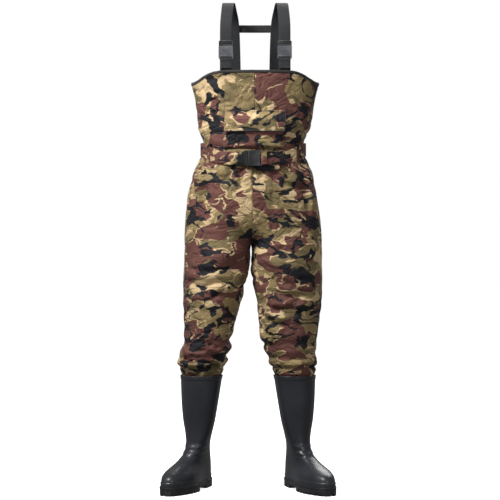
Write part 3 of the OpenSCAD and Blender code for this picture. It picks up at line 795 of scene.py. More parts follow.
def cut_flat(grid):
    """The width, length and area of the flat piece that a grid of cloth was cut from."""
    across = np.linalg.norm(np.diff(grid, axis=1), axis=-1)
    up = np.linalg.norm(np.diff(grid, axis=0), axis=-1)
    diagonals = grid[1:, 1:] - grid[:-1, :-1], grid[1:, :-1] - grid[:-1, 1:]
    area = np.linalg.norm(np.cross(*diagonals), axis=-1).sum() / 2
    return float(across.sum(1).max()), float(up.sum(0).max()), float(area)


for side_name, side in SIDES.items():
    for part, cut in (("front", slice(0, half + 1)), ("back", slice(half, COLS + 1))):
        grid = hanging[side][:, cut]
        plan = pattern[side][:, cut]
        around = np.concatenate([np.zeros((len(plan), 1)),
                                 np.cumsum(np.linalg.norm(np.diff(plan, axis=1), axis=-1), axis=1)], 1)
        seam_column = half if part == "front" else 0
        around -= around[:, seam_column][:, None]
        up = lengths(plan[:, seam_column])
        corner = ROLL_PLACE[f"{part}_{side_name}"]
        uv = np.stack([around * side + corner[0], np.repeat(up[:, None], half + 1, 1) + corner[1]], -1)
        if side == -1:
            grid, uv = grid[:, ::-1], uv[:, ::-1]
        name = f"{part}_{side_name}_panel"
        panel = grid_mesh(name + "_cloth", grid, uv, material=camo_cloth)
        panel.data.materials.append(coating)
        modifier(panel, "SUBSURF", levels=1, render_levels=1)
        modifier(panel, "SOLIDIFY", thickness=FABRIC, offset=-1, material_offset=1)
        apply_modifiers(panel)
        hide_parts(name)
        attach(panel, ROOT)
        # A sheet isn't a rectangle: its widest row, its longest column and its real area are printed
        flat = cut_flat(grid)
        print(name, "is cut", [round(v, 3) for v in flat])

# %% [markdown]
# ## Lines of stitches
# A sewn line is one short thread after another, so a Geometry Nodes tree makes it: the path is
# cut into even steps and a small bead of thread is set on each, turned along the path. The tree
# has the spacing and thread size as inputs and ends in real geometry.

# %% A tree that sews along a path
def sewing_tree(material):
    tree = bpy.data.node_groups.new("sewing " + material.name, "GeometryNodeTree")
    face = tree.interface
    face.new_socket("Path", in_out="INPUT", socket_type="NodeSocketGeometry")
    for name, value in (("Spacing", 0.0035), ("Stitch length", 0.0026), ("Thread", 0.0007)):
        face.new_socket(name, in_out="INPUT", socket_type="NodeSocketFloat").default_value = value
    face.new_socket("Stitches", in_out="OUTPUT", socket_type="NodeSocketGeometry")

    def add(kind, **settings):
        made = tree.nodes.new(kind)
        for key, value in settings.items():
            setattr(made, key, value)
        return made

    start, end = add("NodeGroupInput"), add("NodeGroupOutput")
    curve = add("GeometryNodeMeshToCurve")
    even = add("GeometryNodeResampleCurve", mode="LENGTH")
    spread = add("GeometryNodeInstanceOnPoints")
    along = add("FunctionNodeAlignRotationToVector", axis="Z")
    tangent = add("GeometryNodeInputTangent")
    bead = add("GeometryNodeMeshUVSphere")
    bead.inputs["Segments"].default_value, bead.inputs["Rings"].default_value = 6, 4
    bead.inputs["Radius"].default_value = 0.5
    shape = add("ShaderNodeCombineXYZ")
    real = add("GeometryNodeRealizeInstances")
    paint = add("GeometryNodeSetMaterial")
    paint.inputs["Material"].default_value = material
    link = tree.links.new
    link(start.outputs["Path"], curve.inputs[0])
    link(curve.outputs[0], even.inputs["Curve"])
    link(start.outputs["Spacing"], even.inputs["Length"])
    link(even.outputs[0], spread.inputs["Points"])
    link(bead.outputs["Mesh"], spread.inputs["Instance"])
    link(tangent.outputs[0], along.inputs["Vector"])
    link(along.outputs[0], spread.inputs["Rotation"])
    link(start.outputs["Thread"], shape.inputs[0])
    link(start.outputs["Thread"], shape.inputs[1])
    link(start.outputs["Stitch length"], shape.inputs[2])
    link(shape.outputs[0], spread.inputs["Scale"])
    link(spread.outputs[0], real.inputs[0])
    link(real.outputs[0], paint.inputs[0])
    link(paint.outputs[0], end.inputs[0])
    return tree


sewing = {"thread": sewing_tree(thread), "black": sewing_tree(black_thread)}


def sew(name, paths, body=ROOT, kind="thread", spacing=0.0035, length=0.0026, size=0.0007):
    """One object of stitches along several paths of points, on one body."""
    points, edges = [], []
    for path in paths:
        edges += [(len(points) + k, len(points) + k + 1) for k in range(len(path) - 1)]
        points += [tuple(p) for p in path]
    mesh = bpy.data.meshes.new(name)
    mesh.from_pydata(points, edges, [])
    made = bpy.data.objects.new(name, mesh)
    bpy.context.collection.objects.link(made)
    nodes = made.modifiers.new("sewing", "NODES")
    nodes.node_group = sewing[kind]
    sockets = {item.name: item.identifier for item in sewing[kind].interface.items_tree}
    nodes[sockets["Spacing"]], nodes[sockets["Stitch length"]] = spacing, length
    nodes[sockets["Thread"]] = size
    apply_modifiers(made)
    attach(made, body)
    print(name, len(made.data.polygons), "faces")
    return made


# %% [markdown]
# ## Seams of the garment
# Front and back middles, both side seams and both inseams are sewn twice, a few millimetres on
# each side of the join. The paths follow the cloth after it has hung, raised along its normal.

# %% Sew the seams
def surface_normals(grid):
    across, up = np.gradient(grid, axis=1), np.gradient(grid, axis=0)
    return unit(np.cross(across, up))


def seam_path(side, t, low, high, shift, lift=0.0005):
    grid = hanging[side] if side == 1 else hanging[side][:, ::-1]
    normals = surface_normals(grid)
    if side == -1:
        grid, normals = grid[:, ::-1], normals[:, ::-1]
    rows = np.where((row_heights >= low) & (row_heights <= high))[0]
    col = int(round(t * COLS))
    other = min(col + 1, COLS) if shift > 0 else max(col - 1, 0)
    step = unit(grid[rows, other] - grid[rows, col]) * abs(shift)
    near = normals[rows, min(max(col, 1), COLS - 1)]
    return grid[rows, col] + step + near * lift


seams = []
for side in (-1, 1):
    for shift in (-0.003, 0.003):
        seams.append(seam_path(side, 0.5, 362, 1262, shift))
    seams.append(seam_path(side, 0.0, 930, 1262, 0.003))
    seams.append(seam_path(side, 1.0, 930, 1262, -0.003))
    seams.append(seam_path(side, 0.0, 362, 740, 0.003))
    seams.append(seam_path(side, 1.0, 362, 740, -0.003))
sew("garment_stitches", seams)

# %% [markdown]
# ## Sealing tape inside
# Needle holes would leak, so a heat-bonded tape covers the middle seams on the inside. It lies on
# the cloth, so its grid is the cloth's own columns beside the seam, moved inwards.

# %% Bond the seam tape
TAPE_IN, TAPE_HALF = 0.0022, 0.011


def bond_tape(name, t):
    low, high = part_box(name)
    rows = np.where((row_heights * MM >= low[2] + 0.002) & (row_heights * MM <= high[2] - 0.018))[0]
    strips = []
    for side in (-1, 1):
        grid = hanging[side] if side == 1 else hanging[side][:, ::-1]
        moved = grid - surface_normals(grid) * TAPE_IN
        moved = moved if side == 1 else moved[:, ::-1]
        near = moved[rows][:, :4] if t == 0 else moved[rows][:, ::-1][:, :4]
        run = np.concatenate([[0], np.cumsum(np.linalg.norm(np.diff(near[0], axis=0), axis=1))])
        steps = np.linspace(0, TAPE_HALF, 4)
        strips.append(np.stack([[[np.interp(q, run, row[:, k]) for k in range(3)] for q in steps]
                                for row in near]))
    seam = (strips[0][:, :1] + strips[1][:, :1]) / 2
    points = np.concatenate([strips[0][:, :0:-1], seam, strips[1][:, 1:]], 1)
    points = points if t == 0 else points[:, ::-1]
    u = np.linspace(0, 2 * TAPE_HALF, points.shape[1])
    uv = np.stack(np.broadcast_arrays(u[None], row_heights[rows][:, None] * MM), -1)
    tape = grid_mesh(name + "_bonded", points, uv, material=seal_tape)
    modifier(tape, "SOLIDIFY", thickness=0.0003, offset=-1)
    apply_modifiers(tape)
    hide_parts(name)
    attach(tape, ROOT)


bond_tape("front_seam_tape", 0)
bond_tape("back_seam_tape", 1)

# %% [markdown]
# ## Bound edges and webbing strips
# Belt, braces, tabs and edge tape are all bands: a flat oval section carried along a path. The
# path's points are the ones the solids use, with tighter bends rounded. The section has rounded
# edges, since woven webbing has a soft selvedge.

# %% Sweep a band along a path
def band(name, path, across, width, thick, material, replaces=(), body=ROOT,
         start=0.0, puff=0.0):
    """across is one vector or one for each point. puff makes the middle thicker."""
    path = np.array(path, float)
    tangent = unit(np.gradient(path, axis=0))
    across = np.broadcast_to(np.array(across, float), path.shape)
    across = unit(across - tangent * (across * tangent).sum(-1, keepdims=True))
    up = unit(np.cross(tangent, across))
    w, h = width / 2, thick / 2
    edge = min(h, w * 0.2)
    outline = [(-w, 0), (-w + edge * 0.35, -h * 0.75), (-w + edge, -h), (-w * 0.4, -h - puff),
               (w * 0.4, -h - puff), (w - edge, -h), (w - edge * 0.35, -h * 0.75), (w, 0),
               (w - edge * 0.35, h * 0.75), (w - edge, h), (w * 0.4, h + puff), (-w * 0.4, h + puff),
               (-w + edge, h), (-w + edge * 0.35, h * 0.75)]
    rings = np.stack([path + across * a + up * b for a, b in outline], 1)
    run = lengths(path)
    around = lengths(np.array(outline + outline[:1]))
    side_uv = np.array([a for a, b in outline] + [outline[0][0]])
    side_uv = np.where(np.arange(len(side_uv)) > 7, side_uv + width * 3, side_uv)
    uv = np.stack(np.broadcast_arrays(run[:, None] + start, side_uv[None]), -1)
    made = grid_mesh(name, rings, uv, closed=True, material=material)
    bm = bmesh.new()
    bm.from_mesh(made.data)
    bm.verts.ensure_lookup_table()
    count = len(outline)
    bm.faces.new([bm.verts[k] for k in range(count)][::-1])
    bm.faces.new([bm.verts[(len(path) - 1) * count + k] for k in range(count)])
    bmesh.ops.recalc_face_normals(bm, faces=bm.faces)
    bm.to_mesh(made.data)
    bm.free()
    made.data.shade_smooth()
    if replaces:
        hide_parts(*replaces)
    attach(made, body)
    return made


# %% [markdown]
# ## The top edge
# The edge is folded over and bound with narrow tape, whose near-black colour is painted shade along the edge.
# It follows the top row of the cloth all round, so its path is that row, a little outside and over the edge.

# %% Bind the top edge
def top_ring(row, inset_mm):
    """The hung cloth's row, closed round both sides and moved in or out."""
    left = hanging[1][row, :-1]
    right = hanging[-1][row, :0:-1]
    ring = np.vstack([left, right])
    flat = np.stack([ring[:, 0] - np.roll(ring[:, 0], 1), ring[:, 1] - np.roll(ring[:, 1], 1)], -1)
    flat = flat + np.roll(flat, -1, axis=0)
    out = unit(np.stack([flat[:, 1], -flat[:, 0]], -1))
    ring = ring.copy()
    ring[:, :2] -= out * inset_mm * MM
    return ring


TAPE = 0.0075
edge_row = len(row_heights) - 1
low_row = edge_row - 1
outline = [(-0.4, TAPE), (-1.1, TAPE - 0.0008), (-1.3, TAPE * 0.5), (-1.3, 0.001), (-0.6, -0.0012),
           (0.5, -0.0013), (1.6, -0.0005), (2.2, 0.001), (2.2, TAPE * 0.5), (2.0, TAPE)]
rings = []
for inset, down in outline:
    ring = top_ring(edge_row, inset)
    ring[:, 2] -= down
    # Lower down the tape leans in with the cloth
    lean = top_ring(low_row, inset) - top_ring(edge_row, inset)
    ring[:, :2] += lean[:, :2] * (down / np.maximum(-lean[:, 2:3], 0.004))
    rings.append(ring)
rings = np.array(rings)[::-1]
closed_run = lengths(np.vstack([rings[0], rings[0][:1]]))
uv = np.stack(np.broadcast_arrays(closed_run[None], np.linspace(0, 0.035, len(rings))[:, None]), -1)
binding = grid_mesh("top_edge_tape", rings, uv, closed=True, material=edge_tape_painted_shade)
bm = bmesh.new()
bm.from_mesh(binding.data)
bmesh.ops.recalc_face_normals(bm, faces=bm.faces)
bm.to_mesh(binding.data)
bm.free()
binding.data.shade_smooth()
modifier(binding, "SOLIDIFY", thickness=0.0005, offset=-1)
apply_modifiers(binding)
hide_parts("hem_binding")
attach(binding, ROOT)

hem_stitch = top_ring(edge_row, -1.6)
lean = top_ring(low_row, -1.6) - hem_stitch
hem_stitch[:, 2] -= TAPE - 0.0025
hem_stitch[:, :2] += lean[:, :2] * ((TAPE - 0.0025) / np.maximum(-lean[:, 2:3], 0.004))
sew("top_edge_stitches", [np.vstack([hem_stitch, hem_stitch[:1]])], kind="black")

# %% [markdown]
# ## Chest pocket and flap
# The pocket is a patch of the same cloth, slightly puffed and sewn on three sides. The flap is
# its own piece, because it lifts on its sewn top edge. Both are laid over the chest by the same
# rule as their solids: a place across, a height, and how far the cloth stands off the chest.

# %% Lay cloth patches on the chest
PANEL_ROWS = 38
POCKET_HALF, POCKET_LOW, POCKET_MOUTH = 92, 1048, 1136
FLAP_LOW, FLAP_HIGH = 1103, 1166
CHEST_X = 22


def chest_point(x, height, raised):
    """A place on the chest, x in mm from its middle, raised in mm off the cloth."""
    x, height, raised = np.broadcast_arrays(*(np.asarray(v, float) for v in (x, height, raised)))
    step = (PANEL_HIGH - PANEL_LOW) / PANEL_ROWS
    below = PANEL_LOW + step * np.floor((height - PANEL_LOW) / step)
    share = ((height - below) / step)[..., None]
    half_width = section(TRUNK, height)[..., 1] + raised
    t = np.arcsin(np.minimum(1, np.abs(x) / half_width) ** (1 / BOX_POWER)) / math.pi
    out = []
    for z in (below, below + step):
        right = garment_point(-1, t, z, 0)
        left = garment_point(1, t, z, 0)
        for side, at in ((-1, right), (1, left)):
            r = section(TRUNK, z)
            flat = trunk_point(side, t, z, -raised)
            at[..., :2] = (flat + [0, BODY_Y]) * MM
        out.append(np.where((x < 0)[..., None], right, left))
    return out[0] * (1 - share) + out[1] * share


def soft_patch(name, x_range, heights, raise_rule, thick, material, uv_corner, cols=56, rows=30):
    """A cloth patch with a rolled edge all round. raise_rule(u, v) is in mm, u and v from 0 to 1."""
    u, v = np.meshgrid(np.linspace(0, 1, cols), np.linspace(0, 1, rows))
    x = x_range[0] + (x_range[1] - x_range[0]) * u
    z = heights[0] + (heights[1] - heights[0]) * v
    points = chest_point(x, z, raise_rule(u, v))
    uv = np.stack([x * MM + uv_corner[0], z * MM + uv_corner[1]], -1)
    made = grid_mesh(name, points, uv, material=material)
    modifier(made, "SOLIDIFY", thickness=thick, offset=-1)
    modifier(made, "BEVEL", width=thick * 0.45, segments=2, limit_method="ANGLE")
    cut_flat(points)
    return apply_modifiers(made)


def pocket_raise(u, v):
    side = np.minimum(u, 1 - u) * 2 * POCKET_HALF
    bottom = v * (POCKET_MOUTH - POCKET_LOW)
    rim = ease(0, 11, side) * ease(0, 11, bottom)
    dimple = 0.7 * np.sin(u * 17 + 1) * np.sin(v * 5 + u * 6) * rim
    return 1.6 + 7.6 * rim + dimple


def flap_raise(u, v):
    """Level over the pocket, then down to the seam at the top. Ripples only stand outwards."""
    z = FLAP_LOW + (FLAP_HIGH - FLAP_LOW) * v
    ripple = (0.35 * (1 + np.sin(u * 21)) + 0.5 * (1 + np.sin(u * 6.5 + 2))) * (1 - v)
    return 13.6 + ripple - 11.6 * ease(POCKET_MOUTH + 2, 1160, z)


pocket = soft_patch("chest_pocket_cloth", (-POCKET_HALF, POCKET_HALF), (POCKET_LOW, POCKET_MOUTH),
                    pocket_raise, 0.0012, camo_cloth, (4.93, 3.72))
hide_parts("chest_pocket")
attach(pocket, ROOT)
flap = soft_patch("pocket_flap_cloth", (-POCKET_HALF - 1, POCKET_HALF + 1), (FLAP_LOW, FLAP_HIGH),
                  flap_raise, 0.0016, camo_cloth, (7.31, 2.24))
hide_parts("pocket_flap")
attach(flap, "flap_body")


def chest_line(x0, x1, z0, z1, raise_rule, count=60):
    s = np.linspace(0, 1, count)
    return chest_point(x0 + (x1 - x0) * s, z0 + (z1 - z0) * s, raise_rule(s))


inset = 4.0
low, high = FLAP_LOW + inset, FLAP_HIGH - 2.5
side_x = POCKET_HALF + 1 - inset


def flap_height(z):
    return 15.0 - 12.3 * ease(POCKET_MOUTH + 2, 1160, z)


flap_lines = [chest_line(-side_x, side_x, low, low, lambda s: flap_height(low + 0 * s)),
              chest_line(-side_x, side_x, high, high, lambda s: flap_height(high + 0 * s)),
              chest_line(-side_x, -side_x, low, high, lambda s: flap_height(low + (high - low) * s)),
              chest_line(side_x, side_x, low, high, lambda s: flap_height(low + (high - low) * s))]
sew("flap_stitches", flap_lines, "flap_body")
# A thick, unbroken line of black thread along the flap's lower edge and right end is a painted shadow: the
# dark gap under the flap's edge, drawn as a dark line.
rim = [chest_line(-POCKET_HALF - 1, POCKET_HALF + 1, FLAP_LOW, FLAP_LOW,
                  lambda s: flap_height(FLAP_LOW + 0 * s)),
       chest_line(POCKET_HALF + 1, POCKET_HALF + 1, FLAP_LOW, high,
                  lambda s: flap_height(FLAP_LOW + (high - FLAP_LOW) * s))]
sew("flap_painted_shadow_line", rim, "flap_body", "black", 0.0016, 0.0030, 0.0019)
edge_x, edge_z = POCKET_HALF - 2.5, POCKET_LOW + 2.5
pocket_lines = [chest_line(-edge_x, edge_x, edge_z, edge_z, lambda s: 3.0 + 0 * s),
                chest_line(-edge_x, -edge_x, edge_z, POCKET_MOUTH, lambda s: 3.0 + 0 * s),
                chest_line(edge_x, edge_x, edge_z, POCKET_MOUTH, lambda s: 3.0 + 0 * s)]
sew("pocket_stitches", pocket_lines)


def chest_seam(x, low_z, high_z, lift=0.0004):
    """An upright line on the hung cloth at x mm from the chest's middle."""
    side = 1 if x + CHEST_X > 0 else -1
    grid = hanging[side][:, :half + 1] if side == 1 else hanging[side][:, half::-1]
    normals = surface_normals(grid)
    rows = np.where((row_heights >= low_z) & (row_heights <= high_z))[0]
    line = []
    for row in rows:
        order = np.argsort(grid[row, :, 0])
        spots = (grid + normals * lift)[row][order]
        line.append([np.interp((x + CHEST_X) * MM, grid[row, order, 0], spots[:, k]) for k in range(3)])
    return np.array(line)


chest_seams = [chest_seam(-POCKET_HALF - 2, FLAP_LOW, 1212), chest_seam(POCKET_HALF + 2, POCKET_LOW, 1188)]
sew("chest_seam_stitches", chest_seams, kind="black", spacing=0.0024, length=0.0026, size=0.0012)
for name in ("pocket_loop_strip", "flap_hook_strip"):
    cad[name].data.materials.clear()
    cad[name].data.materials.append(loop_pile)

# %% [markdown]
# ## Belt and belt loops
# The belt is one length of printed webbing. It is folded round the socket's bar, runs round the
# back under six loops, crosses in front behind the buckle and ends in a hanging tail. Each loop
# is a narrow band sewn above and below.

# %% Run the belt round the waist
BELT_WIDTH, WEB = 40, 1.8
BUCKLE_X, BUCKLE_Y = 4, -123
WEB_BACK = 7.6


def belt_ring(side, t, raised):
    """Clear of the cloth over the belt's whole width, in mm."""
    z = belt_height(t)
    reach = [section(TRUNK, z + k * (BELT_WIDTH / 2 + 3)) for k in np.arange(-1, 1.01, 0.25)]
    r = np.max(reach, 0)
    c, s = math.cos(math.pi * t), abs(math.sin(math.pi * t))
    depth = r[2] + raised if c >= 0 else -raised - r[3]
    centre = float(section(TRUNK, z)[4])
    return np.array([centre + side * (r[1] + raised) * s**BOX_POWER, -depth * abs(c)**BOX_POWER, z])


def belt_point(side, t):
    p = belt_ring(side, t, 1.8)
    near = 1 - float(ease(56, 112, abs(p[0] - 16)))
    if t < 0.5:
        front = BUCKLE_Y if side == 1 else BUCKLE_Y + WEB_BACK
        p[1] = p[1] * (1 - near) + min(p[1], front) * near
    return p


def on_body(points):
    return (np.array(points, float) + [0, BODY_Y, 0]) * MM


x, y = BUCKLE_X, BUCKLE_Y
bar_fold = [(x + 54, y - 2.2), (x + 48, y - 2.6), (x + 44, y - 3.4), (x + 39, y - 3.6),
            (x + 35.6, y - 2.4), (x + 34.9, y), (x + 35.6, y + 2.4), (x + 39, y + 3.6),
            (x + 44, y + 3.4), (x + 48, y + 1.6), (x + 54, y)]
round_left = [belt_point(1, t) for t in np.arange(0.17, 0.999, 0.04)]
round_right = [belt_point(-1, t) for t in np.arange(0.98, 0.169, -0.04)]
straight = [(px, y + WEB_BACK, BELT_LOW) for px in (-42, -20, 6)]
tail = [(18, y + WEB_BACK, BELT_LOW - 4), (34, y + WEB_BACK + 0.6, BELT_LOW - 14),
        (52, y + WEB_BACK + 2.2, BELT_LOW - 20), (74, y + WEB_BACK + 4.8, BELT_LOW - 18),
        (92, y + WEB_BACK + 8.2, BELT_LOW - 12)]
belt_route = [(px, py, BELT_LOW) for px, py in bar_fold] + round_left + round_right + straight + tail
belt_path = smooth_path(on_body(belt_route), 0.003)
belt = band("waist_belt_webbing", belt_path, (0, 0, 1), BELT_WIDTH * MM, WEB * MM, camo_belt,
            ["waist_belt"])
print("belt length", round(float(lengths(belt_path)[-1]), 3), "m")

# %% Add the loops over it
LOOP_TURNS = (0.30, 0.62, 0.86)
for side in (-1, 1):
    for t in LOOP_TURNS:
        z = belt_height(t)
        here, ahead = (garment_point(side, q, z) / MM - [0, BODY_Y, 0] for q in (t, t + 0.01))
        along = unit(np.array([ahead[0] - here[0], ahead[1] - here[1], 0]))
        out = side * np.cross(along, [0, 0, 1])
        front = float((belt_ring(side, t, 1.8) - here) @ out) + WEB / 2 + 1.2

        def cloth_at(height, lift):
            p = garment_point(side, t, height) / MM - [0, BODY_Y, 0]
            return [p[0] + out[0] * lift, p[1] + out[1] * lift, height]

        route = [cloth_at(z - 34, 1), cloth_at(z - 27, 1.2),
                 *[[here[0] + out[0] * front, here[1] + out[1] * front, z + k] for k in (-22.5, 0, 22.5)],
                 cloth_at(z + 27, 1.2), cloth_at(z + 34, 1)]
        path = smooth_path(on_body(route), 0.003)
        loop = band(f"belt_loop_{'right' if side < 0 else 'left'}_{round(t * 100)}", path, along,
                    0.012, 0.0012, camo_cloth, ())
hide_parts("belt_loops")

# %% [markdown]
# ## Braces
# Each brace is one length of elastic webbing: from behind its buckle over the shoulder and down
# inside the back. The cross strap keeps the two from slipping off the shoulders. The front tabs
# are sewn inside the top edge and fold round the sockets' bars.

# %% Run the braces
STRAP_WIDTH, CROSS_WIDTH, SHOULDER = 36, 24, 1507
MOUTH, TAB_Y = 1364, -103.5
FRONT_Y = TAB_Y + WEB_BACK
stitch_boxes = []
for side_name, side in SIDES.items():
    f, b, top = CHEST_X + side * 90, CHEST_X + side * 63, CHEST_X + side * 84
    crest = SHOULDER - WEB / 2
    route = [(f, FRONT_Y, MOUTH - 66), (f, FRONT_Y, MOUTH), (f, FRONT_Y, MOUTH + 50),
             (f - side * 1, FRONT_Y + 6, 1444), (f - side * 4, FRONT_Y + 25, 1480),
             (top, FRONT_Y + 60, crest - 3), (top - side * 4, -10, crest), (top - side * 8, 30, 1492),
             (b + side * 6, 58, 1458), (b + side * 3, 74, 1410), (b + side * 1, 90, 1340),
             (b, 102, 1275), (b, 103.5, 1240)]
    path = smooth_path(on_body(route), 0.004)
    band(f"{side_name}_brace_webbing", path, (1, 0, 0), STRAP_WIDTH * MM, WEB * MM, black_web,
         [f"{side_name}_strap"])
    print(side_name, "brace length", round(float(lengths(path)[-1]), 3), "m")
    bar = MOUTH - 35
    route = [(9.2, 1238), (6.6, 1262), (3.6, 1288), (0, 1306), (0, bar - 19), (1.6, bar - 13),
             (3.4, bar - 9), (3.6, bar - 4), (2.4, bar - 0.6), (0, bar + 0.1), (-2.4, bar - 0.6),
             (-3.6, bar - 4), (-3.4, bar - 9), (-2.4, bar - 13), (-2.1, bar - 19), (-2.1, bar - 34)]
    path = smooth_path(on_body([(f, TAB_Y + p, q) for p, q in route]), 0.0015)
    band(f"{side_name}_tab_webbing", path, (1, 0, 0), STRAP_WIDTH * MM, WEB * MM, black_web,
         [f"{side_name}_tab"])
    # A cross between two level lines holds the fold
    w, z0, z1 = STRAP_WIDTH / 2 - 4, bar - 32, bar - 20
    corners = on_body([(px, TAB_Y - 3.3, pz) for pz in (z0, z1) for px in (f - w, f + w)])
    stitch_boxes.append(smooth_path(corners[[0, 1]], 0.002))
    stitch_boxes += [corners[[0, 3]], corners[[1, 2]], corners[[2, 3]]]
sew("tab_stitches", stitch_boxes, kind="black", spacing=0.0028, length=0.0021)

cross_route = [(CHEST_X - 84, 73.5, 1440), (CHEST_X - 40, 75.5, 1440), (CHEST_X, 76.5, 1440),
               (CHEST_X + 40, 75.5, 1440), (CHEST_X + 84, 73.5, 1440)]
band("cross_strap_webbing", smooth_path(on_body(cross_route), 0.004), (0, 0, 1), CROSS_WIDTH * MM,
     WEB * MM, cross_web, ["cross_strap"])

# %% [markdown]
# ## Buckles
# The solids already have the buckles' true shape, so each one is copied, its loose triangles are
# joined and its flat faces merged, and a small bevel rounds every edge as a mould would. Raised
# grip bars are added where fingers hold the sockets.

# %% Round the buckles' edges
def rounded_copy(node, material, radius=0.0007, segments=2, body=ROOT):
    mesh = cad[node].data.copy()
    bm = bmesh.new()
    bm.from_mesh(mesh)
    bmesh.ops.remove_doubles(bm, verts=bm.verts, dist=2e-6)
    bmesh.ops.dissolve_limit(bm, angle_limit=math.radians(1.5), verts=bm.verts, edges=bm.edges)
    bm.to_mesh(mesh)
    bm.free()
    mesh.materials.clear()
    made = add_object(node + "_moulding", mesh, material)
    modifier(made, "BEVEL", width=radius, segments=segments, limit_method="ANGLE",
             angle_limit=math.radians(28), harden_normals=True)
    apply_modifiers(made)
    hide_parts(node)
    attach(made, body)
    return made


BUCKLES = {"waist": ("upper", "lower"), "right": ("outer", "inner"), "left": ("outer", "inner")}
for name, arms in BUCKLES.items():
    rounded_copy(f"{name}_socket", socket_plastic if name != "waist" else plug_plastic)
    rounded_copy(f"{name}_plug", plug_plastic, body=f"{name}_plug_body")
    for arm in arms:
        rounded_copy(f"{name}_arm_{arm}", plug_plastic, 0.0006, body=f"{name}_{arm}_body")


def rounded_bar(name, centre, size, body, material=plug_plastic):
    bm = bmesh.new()
    bmesh.ops.create_cube(bm, size=1)
    bmesh.ops.scale(bm, vec=size, verts=bm.verts)
    bmesh.ops.translate(bm, vec=centre, verts=bm.verts)
    mesh = bpy.data.meshes.new(name)
    bm.to_mesh(mesh)
    bm.free()
    made = add_object(name, mesh, material)
    modifier(made, "BEVEL", width=min(size) * 0.42, segments=3)
    apply_modifiers(made)
    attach(made, body)
    return made


RIB_STEP, RIB_WIDE, RIB_OUT = 0.0048, 0.0016, 0.0012
low, high = (np.array(v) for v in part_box("waist_socket"))
front = low[1]
for k in range(5):
    centre = (low[0] + 0.0125 + k * RIB_STEP, front - 0.0001, (low[2] + high[2]) / 2)
    rounded_bar(f"waist_socket_rib_{k}", centre, (RIB_WIDE, RIB_OUT, 0.026), ROOT)
for name in ("right", "left"):
    low, high = (np.array(v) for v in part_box(f"{name}_socket"))
    for k in range(4):
        centre = ((low[0] + high[0]) / 2, low[1] - 0.0001, high[2] - 0.012 - k * RIB_STEP)
        rounded_bar(f"{name}_socket_rib_{k}", centre, (0.022, RIB_OUT, RIB_WIDE), ROOT, socket_plastic)

# %% [markdown]
# ## Boots
# A moulded boot is one smooth shell: a shaft that narrows to the ankle and a foot that turns out.
# Its sections are ovals whose long end reaches to the toe. A finer grid than the solid's carries
# the details: a rim, a rand above the sole, the toe cap's edge and soft creases at the ankle.

# %% Boot sections and shell
SOLE, BOOT_TOP, TOE_OUT = 24, 350, 24
BOOT = [  # height, back radius, front radius, half width, spread at the ball, centre x
    [24, 78, 211, 39, 15, 166], [42, 79, 209, 40, 15, 166], [58, 78, 197, 40, 12, 166],
    [70, 75, 168, 39.5, 7, 165], [82, 70, 130, 38.5, 2, 163], [96, 65, 100, 37, 0, 160.5],
    [114, 60, 78, 36, 0, 158], [138, 57.5, 65, 37, 0, 156], [168, 60, 61, 42, 0, 154],
    [210, 68, 61, 50.5, 0, 152.5], [260, 74, 64, 57, 0, 150.5], [310, 76, 67, 62, 0, 147.5],
    [350, 76, 70, 65.5, 0, 145],
]
BALL_AT, TOE_BIAS = 130, 5


def boot_point(a, z, grow=0.0):
    """A place round the left boot in mm: a is 0 at the heel and pi at the toe."""
    a, z, grow = np.broadcast_arrays(np.asarray(a, float), np.asarray(z, float), np.asarray(grow, float))
    r = section(BOOT, z)
    c, s = -np.cos(a), -np.sin(a)
    f = np.where(c >= 0, (r[..., 2] + grow) * np.abs(c)**0.86, -(r[..., 1] + grow) * np.abs(c)**0.92)
    ball = ease(-10, BALL_AT, f)
    half_wide = r[..., 3] + r[..., 4] * ball + grow
    l = np.sign(s) * np.abs(s)**0.86 * half_wide - TOE_BIAS * ball * (r[..., 4] / 14)
    turn = np.radians(TOE_OUT) * (1 - ease(70, 190, z))
    return np.stack([r[..., 5] + l * np.cos(turn) + f * np.sin(turn),
                     l * np.sin(turn) - f * np.cos(turn), z], -1)


BOOT_COLS = 96
boot_heights = np.concatenate([np.linspace(SOLE, 60, 22), np.linspace(62, 120, 32),
                               np.linspace(123, 338, 54), np.linspace(BOOT_TOP - 10, BOOT_TOP, 8)])
angles = np.linspace(0, 2 * math.pi, BOOT_COLS, endpoint=False)
A, Z = np.meshgrid(angles, boot_heights)
toward_toe = (1 - np.cos(A)) / 2
rand = 1.6 * (1 - ease(38, 40.5, Z))
groove = -0.9 * np.exp(-((Z - 40.5) / 1.1) ** 2)
rim = 1.2 * ease(338.5, 340.5, Z) + 0.5 * np.exp(-((Z - 349) / 1.6) ** 2)
crease = sum(-d * np.exp(-((Z - h - 9 * (1 - toward_toe)) / w) ** 2) * ease(0.35, 0.85, toward_toe)
             for h, w, d in ((104, 5, 1.6), (122, 6, 1.8), (141, 7, 1.2)))
bulge = sum(d * np.exp(-((Z - h - 9 * (1 - toward_toe)) / w) ** 2) * ease(0.35, 0.85, toward_toe)
            for h, w, d in ((113, 5, 0.8), (131, 6, 0.9)))
foot = boot_point(A, Z)
toe_cap = 0.9 * (1 - ease(1.2, 2.6, np.abs(-(foot[..., 1]) - 118))) * (Z > 44) * (Z < 100)
back_rib = 0.8 * np.exp(-(np.minimum(A, 2 * math.pi - A) / 0.05) ** 2) * ease(60, 80, Z)
grown = boot_point(A, Z, rand + groove + rim + crease + bulge + toe_cap + back_rib - 0.5)
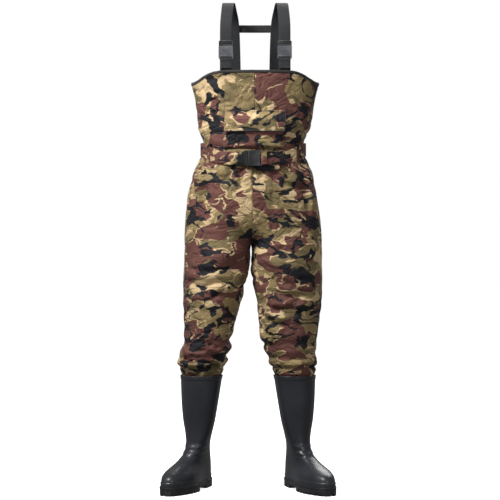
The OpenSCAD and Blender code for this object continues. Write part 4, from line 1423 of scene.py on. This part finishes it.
for side_name, side in SIDES.items():
    points = grown * [side, 1, 1] + [0, BODY_Y, 0]
    points = points if side == 1 else points[:, ::-1]
    uv = np.stack([np.concatenate([A, A[:, :1] + 2 * math.pi], 1) * 0.06,
                   np.concatenate([Z, Z[:, :1]], 1) * MM], -1)
    shell = grid_mesh(f"{side_name}_boot_shell", points * MM, uv, closed=True, material=boot_pvc)
    modifier(shell, "SOLIDIFY", thickness=0.0028, offset=-1, use_even_offset=True)
    apply_modifiers(shell)
    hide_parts(f"{side_name}_boot")
    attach(shell, ROOT)
print("boot shell faces:", len(shell.data.polygons))

# %% [markdown]
# ## Soles
# The outsole's tread is a real shape in the solid, so a copy of the solid with rounded edges stands
# for it. A raised welt runs round the side wall where upper and sole meet. It is one plain ring, so
# it is a band along the boot's own outline, not a repeated piece.

# %% Finish the soles
WELT_HIGH, WELT_OUT = 0.005, 0.003
for side_name, side in SIDES.items():
    rounded_copy(f"{side_name}_outsole", sole_pvc, 0.0012, 2)
    ring = boot_point(angles, SOLE, 2.6) * [side, 1, 1] + [0, BODY_Y, 0]
    ring = np.vstack([ring, ring[:1]]) * MM
    ring[:, 2] -= 0.0015
    band(f"{side_name}_welt", ring, (0, 0, 1), WELT_HIGH, WELT_OUT, sole_pvc, ())
    for part, finish in (("insole", boot_knit), ("lining", boot_knit), ("cuff_seal", seal_tape)):
        cad[f"{side_name}_{part}"].data.materials.clear()
        cad[f"{side_name}_{part}"].data.materials.append(finish)

# %% [markdown]
# ## Floor
# A pale floor grounds the boots with a soft contact shadow.

# %% Lay the floor
floor_finish = Finish("pale floor", Roughness=0.9, Emission_Strength=0.86, Specular_IOR_Level=0.0)
pale = floor_finish.noise(floor_finish.place(), 3, 2.0)
floor_finish.set(Base_Color=floor_finish.blend(pale, (0.86, 0.86, 0.86), (0.9, 0.9, 0.9)),
                 Emission_Color=(1, 1, 1))
floor_mesh = bpy.data.meshes.new("floor")
reach = 30
floor_mesh.from_pydata([(-reach, -reach, 0), (reach, -reach, 0), (reach, reach, 0), (-reach, reach, 0)],
                       [], [(0, 1, 2, 3)])
floor = add_object("floor", floor_mesh, floor_finish.material)
floor.visible_diffuse = floor.visible_glossy = False
